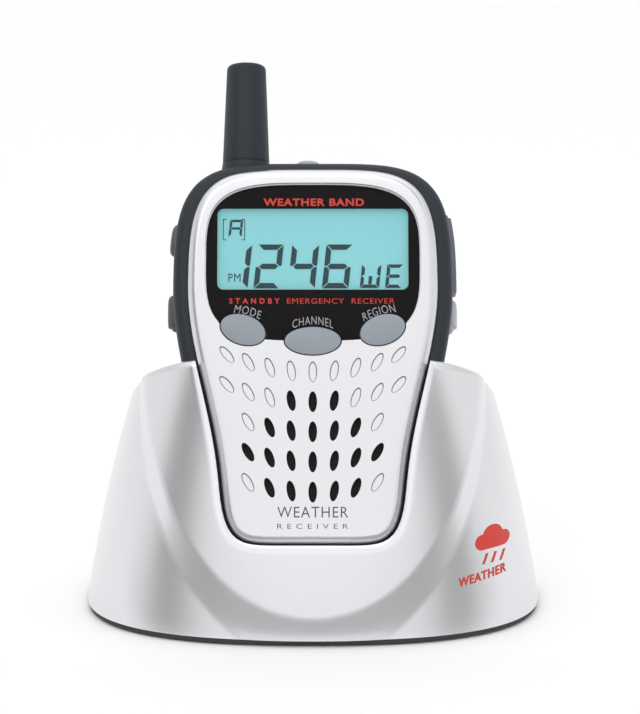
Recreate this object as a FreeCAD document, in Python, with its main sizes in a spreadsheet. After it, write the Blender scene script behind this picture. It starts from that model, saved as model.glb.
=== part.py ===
import FreeCAD, Part
import math
import os
import Sketcher

# Emergency radio: a hand-held weather receiver that stands in its charging cradle.
# World frame: +X right, +Y back, +Z up, origin on the table at the middle of the cradle.
# Handset frame: x right, y into the handset from its face, z up its face; it leans back.

SIZES = [
    # cradle
    ("cradle_half_width", 52.0), ("cradle_half_depth", 38.0), ("cradle_height", 64.0), ("side_lean", 0.15),
    ("side_curve", 0.0015), ("front_lean", 0.16), ("corner_power", 2.5), ("shell_wall", 2.2),
    ("shell_bottom", 1.5), ("pocket_wall", 2.0), ("pocket_gap", 0.4), ("ear_top", 61.0),
    ("ear_top_ahead", 24.0), ("ear_slope", 26.6), ("apron_rise", 1.4), ("apron_half_width", 36.8),
    ("apron_half_height", 49.7), ("apron_middle", 56.0), ("notch_clearance", 2.9),
    ("notch_below_door", 1.7), ("notch_reach", 5.0), ("notch_level", 24.6), ("notch_start", 4.0),
    ("notch_front", 2.0), ("base_bottom", 0.5), ("base_plug_top", 3.5), ("base_fit", 0.3),
    ("foot_radius", 5.0), ("foot_height", 0.9), ("foot_inset_x", 21.0), ("foot_inset_y", 16.0),
    ("foot_recess", 0.4), ("base_screw_inset", 13.5), ("base_screw_y", 7.0), ("post_radius", 3.0),
    ("post_top", 16.0), ("screw_radius", 1.3), ("screw_head_radius", 2.4), ("screw_head_height", 1.4),
    ("screw_length", 11.0), ("screw_gap", 0.15), ("screw_cover", 1.5), ("screw_seat", 0.1),
    ("board_bottom", 4.6), ("board_thickness", 1.4), ("charge_board_half_width", 20.0),
    ("board_inset_front", 8.0), ("board_inset_back", 6.0), ("board_post_radius", 2.0),
    ("board_post_x", 16.0), ("board_post_y", 22.0), ("post_sink", 0.5), ("inlet_half_width", 4.5),
    ("inlet_height", 8.0), ("inlet_inset", 14.0), ("inlet_depth", 9.0), ("inlet_nose_radius", 3.6),
    ("inlet_end_inset", 1.8), ("inlet_bore_radius", 2.75), ("inlet_bore_depth", 9.5),
    ("inlet_pin_radius", 0.65), ("inlet_pin_length", 8.4), ("capacitor_radius", 3.0),
    ("capacitor_height", 8.0), ("capacitor_x", 13.0), ("capacitor_y", 24.0), ("regulator_x", 16.0),
    ("regulator_y", 8.0), ("regulator_width", 7.0), ("regulator_depth", 6.0), ("regulator_height", 2.4),
    ("block_half_width", 8.0), ("block_depth", 8.0), ("block_height", 7.0), ("pin_x", 5.0), ("pin_y", 10.0),
    ("pin_radius", 0.8), ("pin_length", 4.2), ("pin_collar_step", 0.4), ("pin_collar_height", 0.9),
    ("pin_gap", 0.05), ("pin_running_gap", 0.2), ("spring_wire", 0.25), ("spring_running_gap", 0.15),
    ("spring_end_gap", 0.05), ("spring_turns", 4.0), ("spring_floor", 8.4), ("lead_radius", 0.5),
    ("lead_length", 4.9),
    # where the handset sits
    ("handset_lean", 21.0), ("handset_ahead", 34.8), ("handset_lift", 22.2),
    # handset outlines
    ("cover_inset", 3.4), ("cover_foot_inset", 4.0), ("cover_top_inset", 2.2), ("cover_bottom", 0.3),
    ("body_half_width", 31.2), ("body_foot_half_width", 24.5), ("body_top", 86.4), ("widest_at", 50.0),
    ("taper_from", 12.0), ("taper_to", 58.0), ("top_power", 4.4), ("foot_power", 7.0),
    ("body_thickness", 31.0), ("body_wall", 1.8), ("frame_front", 3.4), ("flange_front", 4.5),
    ("flange_thickness", 1.5), ("seam_at", 16.0), ("seam_thickness", 0.6), ("seam_inset", 0.4),
    ("front_round", 2.4), ("back_round", 4.0), ("cover_wall", 2.0), ("cover_round", 2.2),
    ("seat_gap", 0.15),
    # display
    ("lens_half_width", 23.8), ("lens_half_height", 17.65), ("lens_middle", 63.05), ("lens_power", 3.6),
    ("lens_thickness", 1.1), ("lens_recess", 1.5), ("lens_set_back", 0.1), ("mask_thickness", 0.2),
    ("mask_gap", 0.02), ("mask_inset", 0.1), ("window_half_width", 21.2), ("window_bottom", 56.9),
    ("window_top", 75.2), ("window_round", 1.4), ("lcd_side_margin", 0.4), ("lcd_margin", 0.6),
    ("lcd_front", 2.5), ("lcd_gap", 0.1), ("lcd_thickness", 1.9), ("light_thickness", 1.7),
    ("light_raise", 2.5), ("light_gap", 0.05), ("lcd_frame_wall", 1.2), ("lcd_frame_fit", 0.15),
    ("flange_width", 2.4), ("lcd_frame_depth", 4.2), ("lcd_frame_lip", 0.2), ("zebra_height", 1.6),
    ("zebra_raise", 0.4),
    # keys
    ("side_key_x", 15.4), ("side_key_z", 47.7), ("side_key_half_length", 5.1),
    ("side_key_half_height", 3.3), ("side_key_turn", 18.0), ("middle_key_z", 45.2),
    ("middle_key_half_length", 6.2), ("middle_key_half_height", 3.1), ("key_gap", 0.25),
    ("lens_key_gap", 0.25), ("key_proud", 0.9), ("key_back", 3.6), ("key_flange", 0.6), ("key_flange_front", 2.8), ("key_round", 0.7),
    ("mat_half_width", 21.0), ("mat_bottom", 41.6), ("mat_top", 53.4), ("mat_front", 6.0),
    ("dome_front", 4.6), ("dome_radius", 2.2),
    # speaker
    ("speaker_z", 21.5), ("speaker_radius", 15.5), ("speaker_front", 3.0), ("speaker_depth", 3.8),
    ("basket_rim", 1.3), ("speaker_floor", 0.8), ("cone_inner_radius", 4.0), ("cone_thickness", 0.4),
    ("magnet_radius", 7.0), ("magnet_height", 4.5), ("mesh_lap", 1.0), ("mesh_front", 2.1),
    ("mesh_thickness", 0.4), ("slot_half_width", 0.95), ("slot_half_height", 2.3), ("slot_pitch", 4.73),
    ("slot_fan", 10.0), ("slot_first_row", 38.3), ("slot_row_step", 6.65), ("slot_rise", 0.24),
    ("dimple_depth", 0.5),
    # boards
    ("main_board_inset", 9.6), ("main_board_bottom", 41.0), ("main_board_top_inset", 8.4),
    ("main_board_front", 7.0), ("shield_width", 18.0), ("shield_height", 16.0), ("shield_depth", 2.6),
    ("chip_side", 9.0), ("chip_depth", 1.2), ("shield_x", 19.0), ("shield_z", 46.0), ("chip_x", 3.0),
    ("chip_z", 50.0),
    # sides
    ("side_middle", 11.6), ("side_half_depth", 2.7), ("volume_proud", 1.4), ("volume_up_bottom", 66.3),
    ("volume_up_top", 73.7), ("volume_down_bottom", 49.0), ("volume_down_top", 57.4), ("light_proud", 1.2),
    ("light_bottom_edge", 48.5), ("light_top_edge", 56.3), ("side_inner_inset", 3.2), ("side_gap", 0.3),
    ("flap_bottom", 57.6), ("flap_top", 74.6), ("flap_proud", 1.0), ("flap_depth", 0.9),
    ("flap_pivot_inset", 1.6), ("flap_lip", 0.4), ("flap_swing_room", 2.2), ("flap_pivot_radius", 0.8),
    ("switch_side", 3.4), ("switch_depth", 2.4), ("switch_gap", 0.9), ("jack_z", 66.0), ("jack_half", 3.0),
    ("jack_inner_inset", 16.7), ("jack_wall_gap", 1.6), ("jack_trim", 0.2), ("jack_nose_radius", 2.4),
    ("jack_nose_inset", 1.3), ("jack_nose_gap", 0.1), ("jack_bore_radius", 1.75), ("jack_bore_depth", 13.0),
    ("top_button_x", -1.1), ("top_button_y", 10.5), ("top_button_radius", 2.7), ("top_button_rise", 1.4),
    ("top_button_gap", 0.2), ("top_button_bevel", 0.4), ("top_button_length", 5.6),
    # antenna
    ("antenna_x", -15.2), ("antenna_y", 13.0), ("antenna_rise", 1.6), ("antenna_length", 23.0),
    ("antenna_base_radius", 5.3), ("antenna_tip_radius", 4.45), ("antenna_round", 1.0),
    ("collar_foot_radius", 7.2), ("collar_sink", 4.4), ("collar_lip", 0.05), ("collar_flare", 0.5),
    ("collar_lift", 0.6), ("collar_gap", 0.02), ("neck_radius", 4.6), ("neck_sink", 7.4),
    ("neck_gap", 0.05), ("core_radius", 1.5), ("core_sink", 9.4), ("core_cover", 4.0), ("core_gap", 0.1),
    # battery
    ("cell_radius", 5.25), ("cell_length", 43.0), ("cell_cap_radius", 1.9), ("cell_cap_height", 1.0),
    ("cell_gap", 0.4), ("cell_door_gap", 0.6), ("cell_side_gap", 1.05), ("bay_bottom", 19.0),
    ("cell_spring_room", 3.0), ("cell_end_gap", 1.6), ("cell_floor_gap", 0.25), ("bay_wall", 1.4),
    ("bay_ledge", 2.0), ("bay_floor_wall", 1.2), ("contact_thickness", 0.4), ("contact_half_width", 3.4),
    ("cell_spring_radius", 2.2), ("cell_spring_wire", 0.3), ("cell_spring_turns", 2.5),
    ("cell_spring_gap", 0.03), ("door_lap", 1.7), ("door_pivot_rise", 0.2), ("door_top_lap", 1.3),
    ("door_thickness", 1.7), ("door_gap", 0.3), ("door_inset", 0.05),
    # belt clip
    ("clip_half_width", 8.0), ("clip_stand_off", 4.4), ("clip_thickness", 2.0), ("clip_above", 6.5),
    ("clip_bend_below", 26.0), ("clip_tip_below", 31.0), ("clip_tip_off", 0.8), ("clip_pivot_off", 2.6),
    ("clip_bend_shift", 0.8), ("clip_tip_width", 1.4), ("clip_web", 0.2), ("lug_root", 0.5),
    ("clip_pivot_z", 60.0), ("clip_barrel_radius", 1.5), ("clip_barrel_half", 4.4), ("lug_inner", 4.7),
    ("lug_outer", 7.2), ("clip_pin_radius", 0.8), ("clip_pin_gap", 0.05), ("clip_coil_half", 1.7),
    ("clip_coil_radius", 1.2), ("clip_coil_wire", 0.28), ("clip_coil_turns", 3.0),
    # handset screws and pads
    ("case_screw_inset", 11.2), ("case_screw_drop", 10.4), ("case_screw_foot_inset", 6.9),
    ("case_screw_z_foot", 8.5), ("boss_radius", 2.6), ("case_screw_length", 13.0), ("case_screw_sink", 0.9),
    ("case_screw_well", 2.4), ("pad_half", 1.7), ("pad_gap", 0.05), ("pad_thickness", 0.8),
]

# Sizes that follow from others, so that what fits together keeps fitting.
DERIVED = {
    "foot_x": ("cradle_half_width", "-foot_inset_x"), "foot_y": ("cradle_half_depth", "-foot_inset_y"),
    "base_screw_x": ("cradle_half_width", "-base_screw_inset"),
    "charge_board_front": ("cradle_half_depth", "-board_inset_front"),
    "charge_board_back": ("cradle_half_depth", "-board_inset_back"),
    "inlet_front": ("cradle_half_depth", "-inlet_inset"),
    "inlet_end": ("cradle_half_depth", "-inlet_end_inset"),
    "pin_hole_radius": ("pin_radius", "pin_running_gap"),
    "pin_collar_radius": ("pin_radius", "pin_collar_step"),
    "pin_bore_radius": ("pin_collar_radius", "pin_running_gap"),
    "spring_radius": ("pin_bore_radius", "-spring_wire", "-spring_running_gap"),
    "notch_half_width": ("door_half_width", "notch_clearance"),
    "notch_floor": ("door_pivot_z", "-notch_below_door"),
    "cover_half_width": ("body_half_width", "-cover_inset"),
    "cover_foot_half_width": ("body_foot_half_width", "-cover_foot_inset"),
    "cover_top": ("body_top", "-cover_top_inset"),
    "lcd_half_width": ("window_half_width", "lcd_side_margin"),
    "lcd_bottom": ("window_bottom", "-lcd_margin"), "lcd_top": ("window_top", "lcd_margin"),
    "light_bottom": ("lcd_bottom", "light_raise"),
    "speaker_bore": ("speaker_radius", "-basket_rim"), "mesh_radius": ("speaker_radius", "mesh_lap"),
    "main_board_half_width": ("body_half_width", "-main_board_inset"),
    "main_board_top": ("body_top", "-main_board_top_inset"),
    "side_inner": ("body_half_width", "-side_inner_inset"),
    "flap_pivot_x": ("body_half_width", "-flap_pivot_inset"),
    "jack_inner": ("body_half_width", "-jack_inner_inset"),
    "jack_nose_end": ("body_half_width", "-jack_nose_inset"),
    "top_button_top": ("body_top", "top_button_rise"),
    "antenna_joint": ("body_top", "antenna_rise"), "antenna_top": ("antenna_joint", "antenna_length"),
    "collar_foot": ("body_top", "-collar_sink"), "neck_foot": ("body_top", "-neck_sink"),
    "core_foot": ("body_top", "-core_sink"), "core_top": ("antenna_top", "-core_cover"),
    "cell_pitch": ("cell_radius", "cell_radius", "cell_gap"),
    "bay_half_width": ("cell_pitch", "cell_radius", "cell_side_gap"),
    "bay_top": ("bay_bottom", "cell_spring_room", "cell_length", "cell_cap_height", "cell_end_gap"),
    "door_back": ("body_thickness", "-door_inset"),
    "cell_middle_y": ("door_back", "-door_thickness", "-cell_door_gap", "-cell_radius"),
    "bay_floor": ("cell_middle_y", "-cell_radius", "-cell_floor_gap"),
    "door_half_width": ("bay_half_width", "door_lap"), "door_pivot_z": ("bay_bottom", "door_pivot_rise"),
    "door_top": ("bay_top", "door_top_lap"),
    "clip_front": ("body_thickness", "clip_stand_off"), "clip_top": ("clip_pivot_z", "clip_above"),
    "clip_bend": ("clip_pivot_z", "-clip_bend_below"), "clip_tip": ("clip_pivot_z", "-clip_tip_below"),
    "clip_tip_y": ("body_thickness", "clip_tip_off"), "clip_pivot_y": ("body_thickness", "clip_pivot_off"),
    "case_screw_x_top": ("body_half_width", "-case_screw_inset"),
    "case_screw_z_top": ("body_top", "-case_screw_drop"),
    "case_screw_x_foot": ("body_foot_half_width", "-case_screw_foot_inset"),
}

V = FreeCAD.Vector
doc = FreeCAD.newDocument("EmergencyRadio")
sheet = doc.addObject("Spreadsheet::Sheet", "sizes")
for row, (alias, amount) in enumerate(SIZES, start=1):
    sheet.set("A%d" % row, alias.replace("_", " "))
    sheet.set("B%d" % row, "%g" % amount)
    sheet.setAlias("B%d" % row, alias)
doc.recompute()


def plain_terms(alias):
    """A size as signed names of cells, with any derived size written out."""
    sign = "-" if alias.startswith("-") else ""
    name = alias.lstrip("-")
    if name not in DERIVED:
        return [alias]
    terms = []
    for part in DERIVED[name]:
        for term in plain_terms(part):
            minus = (sign == "-") != term.startswith("-")
            terms.append(("-" if minus else "") + term.lstrip("-"))
    return terms


def total(*aliases):
    """A signed sum of sizes, as an expression on the sheet and as a number."""
    text = "0"
    number = 0.0
    for alias in aliases:
        for term in plain_terms(alias):
            name = term.lstrip("-")
            text += (" - " if term.startswith("-") else " + ") + "sizes." + name
            number += float(sheet.get(name)) * (-1.0 if term.startswith("-") else 1.0)
    return text, number


def size(*aliases):
    """The value of one size, or of a signed sum of them."""
    return total(*aliases)[1]


NOTHING = ("0", 0.0)
LEAN = size("handset_lean")
seat = FreeCAD.Placement(V(0, -size("handset_ahead"), size("handset_lift")),
                         FreeCAD.Rotation(V(1, 0, 0), -LEAN))
cradle_frame = FreeCAD.Placement()
along_y = FreeCAD.Rotation(V(1, 0, 0), -90)
along_x = FreeCAD.Rotation(V(0, 1, 0), 90)
nodes = []


# ---------------------------------------------------------------- document helpers

def keep(thing, name):
    """Names a finished piece; its label is its file's name."""
    thing.Label = name
    nodes.append(thing)
    return thing


def feature(name, shape, frame, merge_faces=True):
    """A piece whose shape comes from Part's own functions."""
    thing = doc.addObject("Part::Feature", name)
    thing.Shape = shape.removeSplitter() if merge_faces else shape
    thing.Placement = frame
    return keep(thing, name)


def within(frame, x=0.0, y=0.0, z=0.0, turn=FreeCAD.Rotation()):
    """A placement inside another frame."""
    return frame.multiply(FreeCAD.Placement(V(x, y, z), turn))


def pin_corner(sketch, corner, index, position):
    """Ties one corner of a sketch to the sheet."""
    for kind, (text, number) in zip(("DistanceX", "DistanceY"), corner):
        if abs(number) < 1e-9:
            axis = -2 if kind == "DistanceX" else -1
            sketch.addConstraint(Sketcher.Constraint("PointOnObject", index, position, axis))
            continue
        if number > 0:
            place = sketch.addConstraint(Sketcher.Constraint(kind, -1, 1, index, position, number))
            sketch.setExpression("Constraints[%d]" % place, text)
        else:
            place = sketch.addConstraint(Sketcher.Constraint(kind, index, position, -1, 1, -number))
            sketch.setExpression("Constraints[%d]" % place, "-(" + text + ")")


def outline_sketch(body, role, corners):
    """A closed polygon on one of the body's own planes, each corner tied to the sheet."""
    sketch = body.newObject("Sketcher::SketchObject", body.Name + "_sketch")
    plane = [item for item in body.Origin.OriginFeatures if item.Role == role][0]
    sketch.AttachmentSupport = [(plane, "")]
    sketch.MapMode = "FlatFace"
    points = [V(corner[0][1], corner[1][1], 0) for corner in corners]
    count = len(points)
    for index in range(count):
        sketch.addGeometry(Part.LineSegment(points[index], points[(index + 1) % count]), False)
    for index in range(count):
        sketch.addConstraint(Sketcher.Constraint("Coincident", index, 2, (index + 1) % count, 1))
    for index in range(count):
        pin_corner(sketch, corners[index], index, 1)
    return sketch


def turned(name, corners, frame, kept=True):
    """A piece turned on a lathe: corners are radius and height, revolved about the frame's z."""
    body = doc.addObject("PartDesign::Body", name)
    sketch = outline_sketch(body, "XZ_Plane", corners)
    turn = body.newObject("PartDesign::Revolution", name + "_turn")
    turn.Profile = sketch
    turn.ReferenceAxis = (sketch, ["V_Axis"])
    turn.Angle = 360
    sketch.Visibility = False
    body.Placement = frame
    return keep(body, name) if kept else body


def padded(name, corners, thickness, frame, kept=True):
    """A plate cut to a polygon in the frame's x-y plane and raised along its z."""
    body = doc.addObject("PartDesign::Body", name)
    sketch = outline_sketch(body, "XY_Plane", corners)
    pad = body.newObject("PartDesign::Pad", name + "_pad")
    pad.Profile = sketch
    pad.Length = thickness[1]
    pad.setExpression("Length", thickness[0])
    body.Placement = frame
    return keep(body, name) if kept else body


def rectangle(left, right, bottom, top):
    """The corners of a rectangle."""
    return [(left, bottom), (right, bottom), (right, top), (left, top)]


# ---------------------------------------------------------------- shape helpers

def closed_curve(points):
    """A smooth closed wire through the points."""
    curve = Part.BSplineCurve()
    curve.interpolate(Points=points, PeriodicFlag=True)
    return Part.Wire(curve.toShape())


def cradle_ring(z, margin):
    """The cradle's rounded plan at a height: |x/a|^p + |y/b|^p = 1, leaning in as it rises."""
    a = size("cradle_half_width") - size("side_lean") * z - size("side_curve") * z * z + margin
    b = size("cradle_half_depth") - size("front_lean") * z + margin
    power = size("corner_power")
    points = []
    for step in range(48):
        angle = math.tau * step / 48
        c, s = math.cos(angle), math.sin(angle)
        reach = (abs(c) ** power + abs(s) ** power) ** (-1 / power)
        points.append(V(a * reach * c, b * reach * s, z))
    return closed_curve(points)


def cradle_solid(bottom, top, margin):
    """The cradle's outer volume between two heights, grown by a margin."""
    rings = [cradle_ring(bottom + (top - bottom) * share / 3, margin) for share in range(4)]
    return Part.makeLoft(rings, True, False)


def shield_points(half_width, foot, bottom, top, margin):
    """The handset's outline: square-shouldered above, tapering to a narrower foot."""
    middle = size("widest_at")
    up = top - middle + margin
    down = middle - bottom + margin
    wide = half_width + margin
    points = []
    for step in range(72):
        angle = math.tau * (step + 0.5) / 72
        c, s = math.cos(angle), math.sin(angle)
        power = size("top_power") if s > 0 else size("foot_power")
        reach = (abs(c) ** power + abs(s) ** power) ** (-1 / power)
        x = wide * reach * c
        z = middle + (up if s > 0 else down) * reach * s
        share = (z - size("taper_from")) / (size("taper_to") - size("taper_from"))
        share = min(1.0, max(0.0, share))
        ease = share * share * (3 - 2 * share)
        x *= (foot + margin + (half_width - foot) * ease) / wide
        points.append(V(x, 0, z))
    return points


def prism(points_or_wire, start, end):
    """A face in the handset's x-z plane carried from one depth to another."""
    wire = points_or_wire if isinstance(points_or_wire, Part.Wire) else closed_curve(points_or_wire)
    solid = Part.Face(wire).extrude(V(0, end - start, 0))
    solid.translate(V(0, start, 0))
    return solid


def body_prism(margin, start, end):
    """The dark body's outline, grown by a margin."""
    outline = shield_points(size("body_half_width"), size("body_foot_half_width"), 0.0,
                            size("body_top"), margin)
    return prism(outline, start, end)


def cover_prism(margin, start, end):
    """The silver cover's outline, grown by a margin."""
    outline = shield_points(size("cover_half_width"), size("cover_foot_half_width"), size("cover_bottom"),
                            size("cover_top"), margin)
    return prism(outline, start, end)


def lens_prism(margin, start, end):
    """The display lens's outline: a fat rounded superellipse."""
    power = size("lens_power")
    points = []
    for step in range(40):
        angle = math.tau * step / 40
        c, s = math.cos(angle), math.sin(angle)
        reach = (abs(c) ** power + abs(s) ** power) ** (-1 / power)
        points.append(V((size("lens_half_width") + margin) * reach * c, 0,
                        size("lens_middle") + (size("lens_half_height") + margin) * reach * s))
    return prism(points, start, end)


def oval_prism(x, z, half_length, half_height, turn, start, end):
    """An elliptical rod along y, turned by degrees about it."""
    long_axis = V(math.cos(math.radians(turn)), 0, math.sin(math.radians(turn)))
    cross_axis = V(-math.sin(math.radians(turn)), 0, math.cos(math.radians(turn)))
    centre = V(x, 0, z)
    if half_length >= half_height:
        ellipse = Part.Ellipse(centre + long_axis * half_length, centre + cross_axis * half_height, centre)
    else:
        ellipse = Part.Ellipse(centre + cross_axis * half_height, centre + long_axis * half_length, centre)
    return prism(Part.Wire(ellipse.toShape()), start, end)


def block(x0, x1, y0, y1, z0, z1):
    """A plain box between two corners."""
    return Part.makeBox(x1 - x0, y1 - y0, z1 - z0, V(x0, y0, z0))


def rod(radius, start, direction, length):
    """A plain round rod."""
    return Part.makeCylinder(radius, length, start, direction)


def rounded_block(x0, x1, y0, y1, z0, z1, radius):
    """A box whose corners are rounded in the x-z plane."""
    solid = block(x0, x1, y0, y1, z0, z1)
    edges = [edge for edge in solid.Edges if abs(edge.tangentAt(edge.FirstParameter).y) > 0.9]
    return solid.makeFillet(radius, edges)


def round_rim(solid, depth, radius):
    """Rounds every edge that lies at one depth, front or back."""
    edges = [edge for edge in solid.Edges
             if abs(edge.BoundBox.YMin - depth) < 1e-4 and abs(edge.BoundBox.YMax - depth) < 1e-4]
    return solid.makeFillet(radius, edges)


def coil(radius, wire, length, turns):
    """A coil spring along +z from the origin: a six-sided wire carried up a helix in flat facets."""
    around, sides = 12, 6
    count = int(around * turns)
    rings = []
    for step in range(count + 1):
        angle = math.tau * step / around
        outward = V(math.cos(angle), math.sin(angle), 0)
        middle = outward * radius + V(0, 0, length * step / count)
        rings.append([middle + outward * (wire * math.cos(math.tau * side / sides))
                      + V(0, 0, wire * math.sin(math.tau * side / sides)) for side in range(sides)])
    faces = [Part.Face(Part.makePolygon(ring + [ring[0]])) for ring in (rings[0], rings[-1])]
    for low, high in zip(rings, rings[1:]):
        for side in range(sides):
            after = (side + 1) % sides
            for corners in ((low[side], low[after], high[after]), (low[side], high[after], high[side])):
                faces.append(Part.Face(Part.makePolygon(list(corners) + [corners[0]])))
    solid = Part.Solid(Part.makeShell(faces))
    if solid.Volume < 0:
        solid.reverse()
    return solid


def pill_along_x(y, half_depth, z0, z1, x0, x1):
    """A bar along x with round ends above and below."""
    solid = block(x0, x1, y - half_depth, y + half_depth, z0 + half_depth, z1 - half_depth)
    for z in (z0 + half_depth, z1 - half_depth):
        solid = solid.fuse(rod(half_depth, V(x0, y, z), V(1, 0, 0), x1 - x0))
    return solid.removeSplitter()


def to_world(shape):
    """A shape made in the handset's frame, moved to where the handset sits."""
    moved = shape.copy()
    moved.Placement = seat.multiply(moved.Placement)
    return moved


# ---------------------------------------------------------------- shared places

KEYS = {
    "mode_key": (-size("side_key_x"), size("side_key_z"), size("side_key_half_length"),
                 size("side_key_half_height"), -size("side_key_turn")),
    "channel_key": (0.0, size("middle_key_z"), size("middle_key_half_length"),
                    size("middle_key_half_height"), 0.0),
    "area_key": (size("side_key_x"), size("side_key_z"), size("side_key_half_length"),
                 size("side_key_half_height"), size("side_key_turn")),
}
SIDE_KEYS = {
    "volume_up_key": (-1, "volume_up_bottom", "volume_up_top", "volume_proud"),
    "volume_down_key": (-1, "volume_down_bottom", "volume_down_top", "volume_proud"),
    "light_button": (1, "light_bottom_edge", "light_top_edge", "light_proud"),
}
CASE_SCREWS = [(side * size("case_screw_x_" + end), size("case_screw_z_" + end))
               for end in ("top", "foot") for side in (-1, 1)]
BASE_SCREWS = [(sx * size("base_screw_x"), sy * size("base_screw_y")) for sx in (-1, 1) for sy in (-1, 1)]
FEET = [(sx * size("foot_x"), sy * size("foot_y")) for sx in (-1, 1) for sy in (-1, 1)]
FACE_BACK = size("body_thickness")
FAR = 90.0


def slot_places():
    """Every speaker slot: column, height, tilt and whether it is cut right through."""
    open_columns = [(), (0, 1), (0, 1, 2), (0, 1, 2, 3), (0, 1, 2)]
    last_column = [4, 4, 3, 3, 3]
    for row_index in range(5):
        for column in range(-last_column[row_index], last_column[row_index] + 1):
            away = abs(column)
            rise = size("slot_rise") * away * away
            z = size("slot_first_row") - row_index * size("slot_row_step") + rise
            yield (column * size("slot_pitch"), z, -column * size("slot_fan"),
                   away in open_columns[row_index])


# ---------------------------------------------------------------- cradle

def pocket_cut(wall):
    """The handset's seat in the cradle; a wall thickness grows it for the inner skin."""
    gap = size("pocket_gap") + wall
    seat_back = FACE_BACK + gap
    inner = body_prism(gap, size("frame_front") - gap, seat_back)
    above = block(-size("body_half_width") - gap, size("body_half_width") + gap,
                  size("frame_front") - gap, seat_back, size("taper_to"), FAR)
    window = cover_prism(gap, -FAR / 2, size("frame_front"))
    notch_half = size("notch_half_width") + wall
    notch = block(-notch_half, notch_half, FACE_BACK - size("notch_front"), FACE_BACK + size("notch_reach"),
                  size("notch_floor") - wall, FAR)
    level = block(-notch_half, notch_half, size("notch_start") - wall, FAR, size("notch_level") - wall, FAR)
    return to_world(inner.fuse([above, window, notch])).fuse(level)


def top_cut(drop):
    """Everything above the cradle's sloping top."""
    half = size("cradle_half_width") + 10
    lid = Part.makeBox(2 * half, 4 * half, half, V(-half, 0, 0))
    lid.translate(V(0, -2 * half, 0))
    lid.rotate(V(0, 0, 0), V(1, 0, 0), -size("ear_slope"))
    lid.translate(V(0, -size("ear_top_ahead"), size("ear_top") - drop))
    return lid


def make_cradle_shell():
    """The silver shell: a leaning superelliptic tub with a raised apron and the handset's seat."""
    low, high = size("shell_bottom"), size("cradle_height")
    outer = cradle_solid(low, high, 0.0)
    ellipse = Part.Ellipse(V(0, 0, 0), size("apron_half_height"), size("apron_half_width"))
    face = Part.Face(Part.Wire(ellipse.toShape()))
    face.rotate(V(0, 0, 0), V(0, 0, 1), 90)
    face.rotate(V(0, 0, 0), V(1, 0, 0), 90)
    face.translate(V(0, -size("cradle_half_depth") - 10, size("apron_middle")))
    window = face.extrude(V(0, size("cradle_half_depth"), 0))
    apron = cradle_solid(low, high, size("apron_rise")).common(window)
    outer = outer.fuse(apron).cut(top_cut(0.0)).cut(pocket_cut(0.0))
    wall = size("shell_wall")
    hollow = cradle_solid(low - 1, high, -wall).cut(top_cut(wall)).cut(pocket_cut(size("pocket_wall")))
    posts = [rod(size("post_radius"), V(x, y, size("base_plug_top")), V(0, 0, 1),
                 size("post_top") - size("base_plug_top")) for x, y in BASE_SCREWS]
    shell = outer.cut(hollow.cut(Part.makeCompound(posts)))
    bore = size("screw_radius") + size("screw_gap")
    holes = [rod(bore, V(x, y, 0), V(0, 0, 1), size("post_top") - size("screw_cover"))
             for x, y in BASE_SCREWS]
    floor = size("pocket_gap") + 2 * size("pocket_wall")
    holes += [to_world(rod(size("pin_hole_radius"), V(side * size("pin_x"), size("pin_y"), -floor), V(0, 0, 1),
                           floor)) for side in (-1, 1)]
    nose_z = size("board_bottom") + size("board_thickness") + size("inlet_height") / 2
    holes.append(rod(size("inlet_nose_radius") + size("seat_gap"), V(0, size("inlet_front"), nose_z),
                     V(0, 1, 0), FAR))
    shell = shell.cut(Part.makeCompound(holes))
    body = max(shell.Solids, key=lambda solid: solid.Volume)
    return feature("cradle_shell", body, cradle_frame, merge_faces=False)


def make_cradle_base():
    """The dark base plate with a plug that locates in the shell and posts for the board."""
    low, seam, top = size("base_bottom"), size("shell_bottom"), size("base_plug_top")
    fit, sink = size("base_fit"), size("post_sink")
    flange = Part.Face(cradle_ring(seam, -fit)).extrude(V(0, 0, low - seam))
    plug = Part.Face(cradle_ring(top, -size("shell_wall") - fit)).extrude(V(0, 0, seam - top))
    base = flange.fuse(plug)
    spots = [(sx * size("board_post_x"), sy * size("board_post_y")) for sx in (-1, 1) for sy in (-1, 1)]
    posts = [rod(size("board_post_radius"), V(x, y, top - sink), V(0, 0, 1), size("board_bottom") - top + sink)
             for x, y in spots]
    base = base.fuse(posts)
    cuts = []
    for x, y in BASE_SCREWS:
        cuts.append(rod(size("screw_radius") + size("screw_gap"), V(x, y, 0), V(0, 0, 1), 10))
        cuts.append(rod(size("screw_head_radius") + size("screw_gap"), V(x, y, 0), V(0, 0, 1),
                        size("base_bottom") + size("screw_head_height") + size("screw_gap")))
    for x, y in FEET:
        cuts.append(rod(size("foot_radius"), V(x, y, 0), V(0, 0, 1), low + size("foot_recess")))
    return feature("cradle_base", base.cut(Part.makeCompound(cuts)), cradle_frame)


def screw(name, head, head_height, length):
    """A pan-head screw along +z, head first."""
    return turned(name, [(NOTHING, NOTHING), (total(head), NOTHING), (total(head), total(head_height)),
                         (total("screw_radius"), total(head_height)), (total("screw_radius"), total(length)),
                         (NOTHING, total(length))], cradle_frame, kept=False)


def copies(original, placements):
    """Plain copies of one solid at several placements."""
    doc.recompute()
    made = []
    for place in placements:
        copy = original.Shape.copy()
        copy.Placement = place.multiply(copy.Placement)
        made.append(copy)
    return Part.makeCompound(made)


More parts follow.
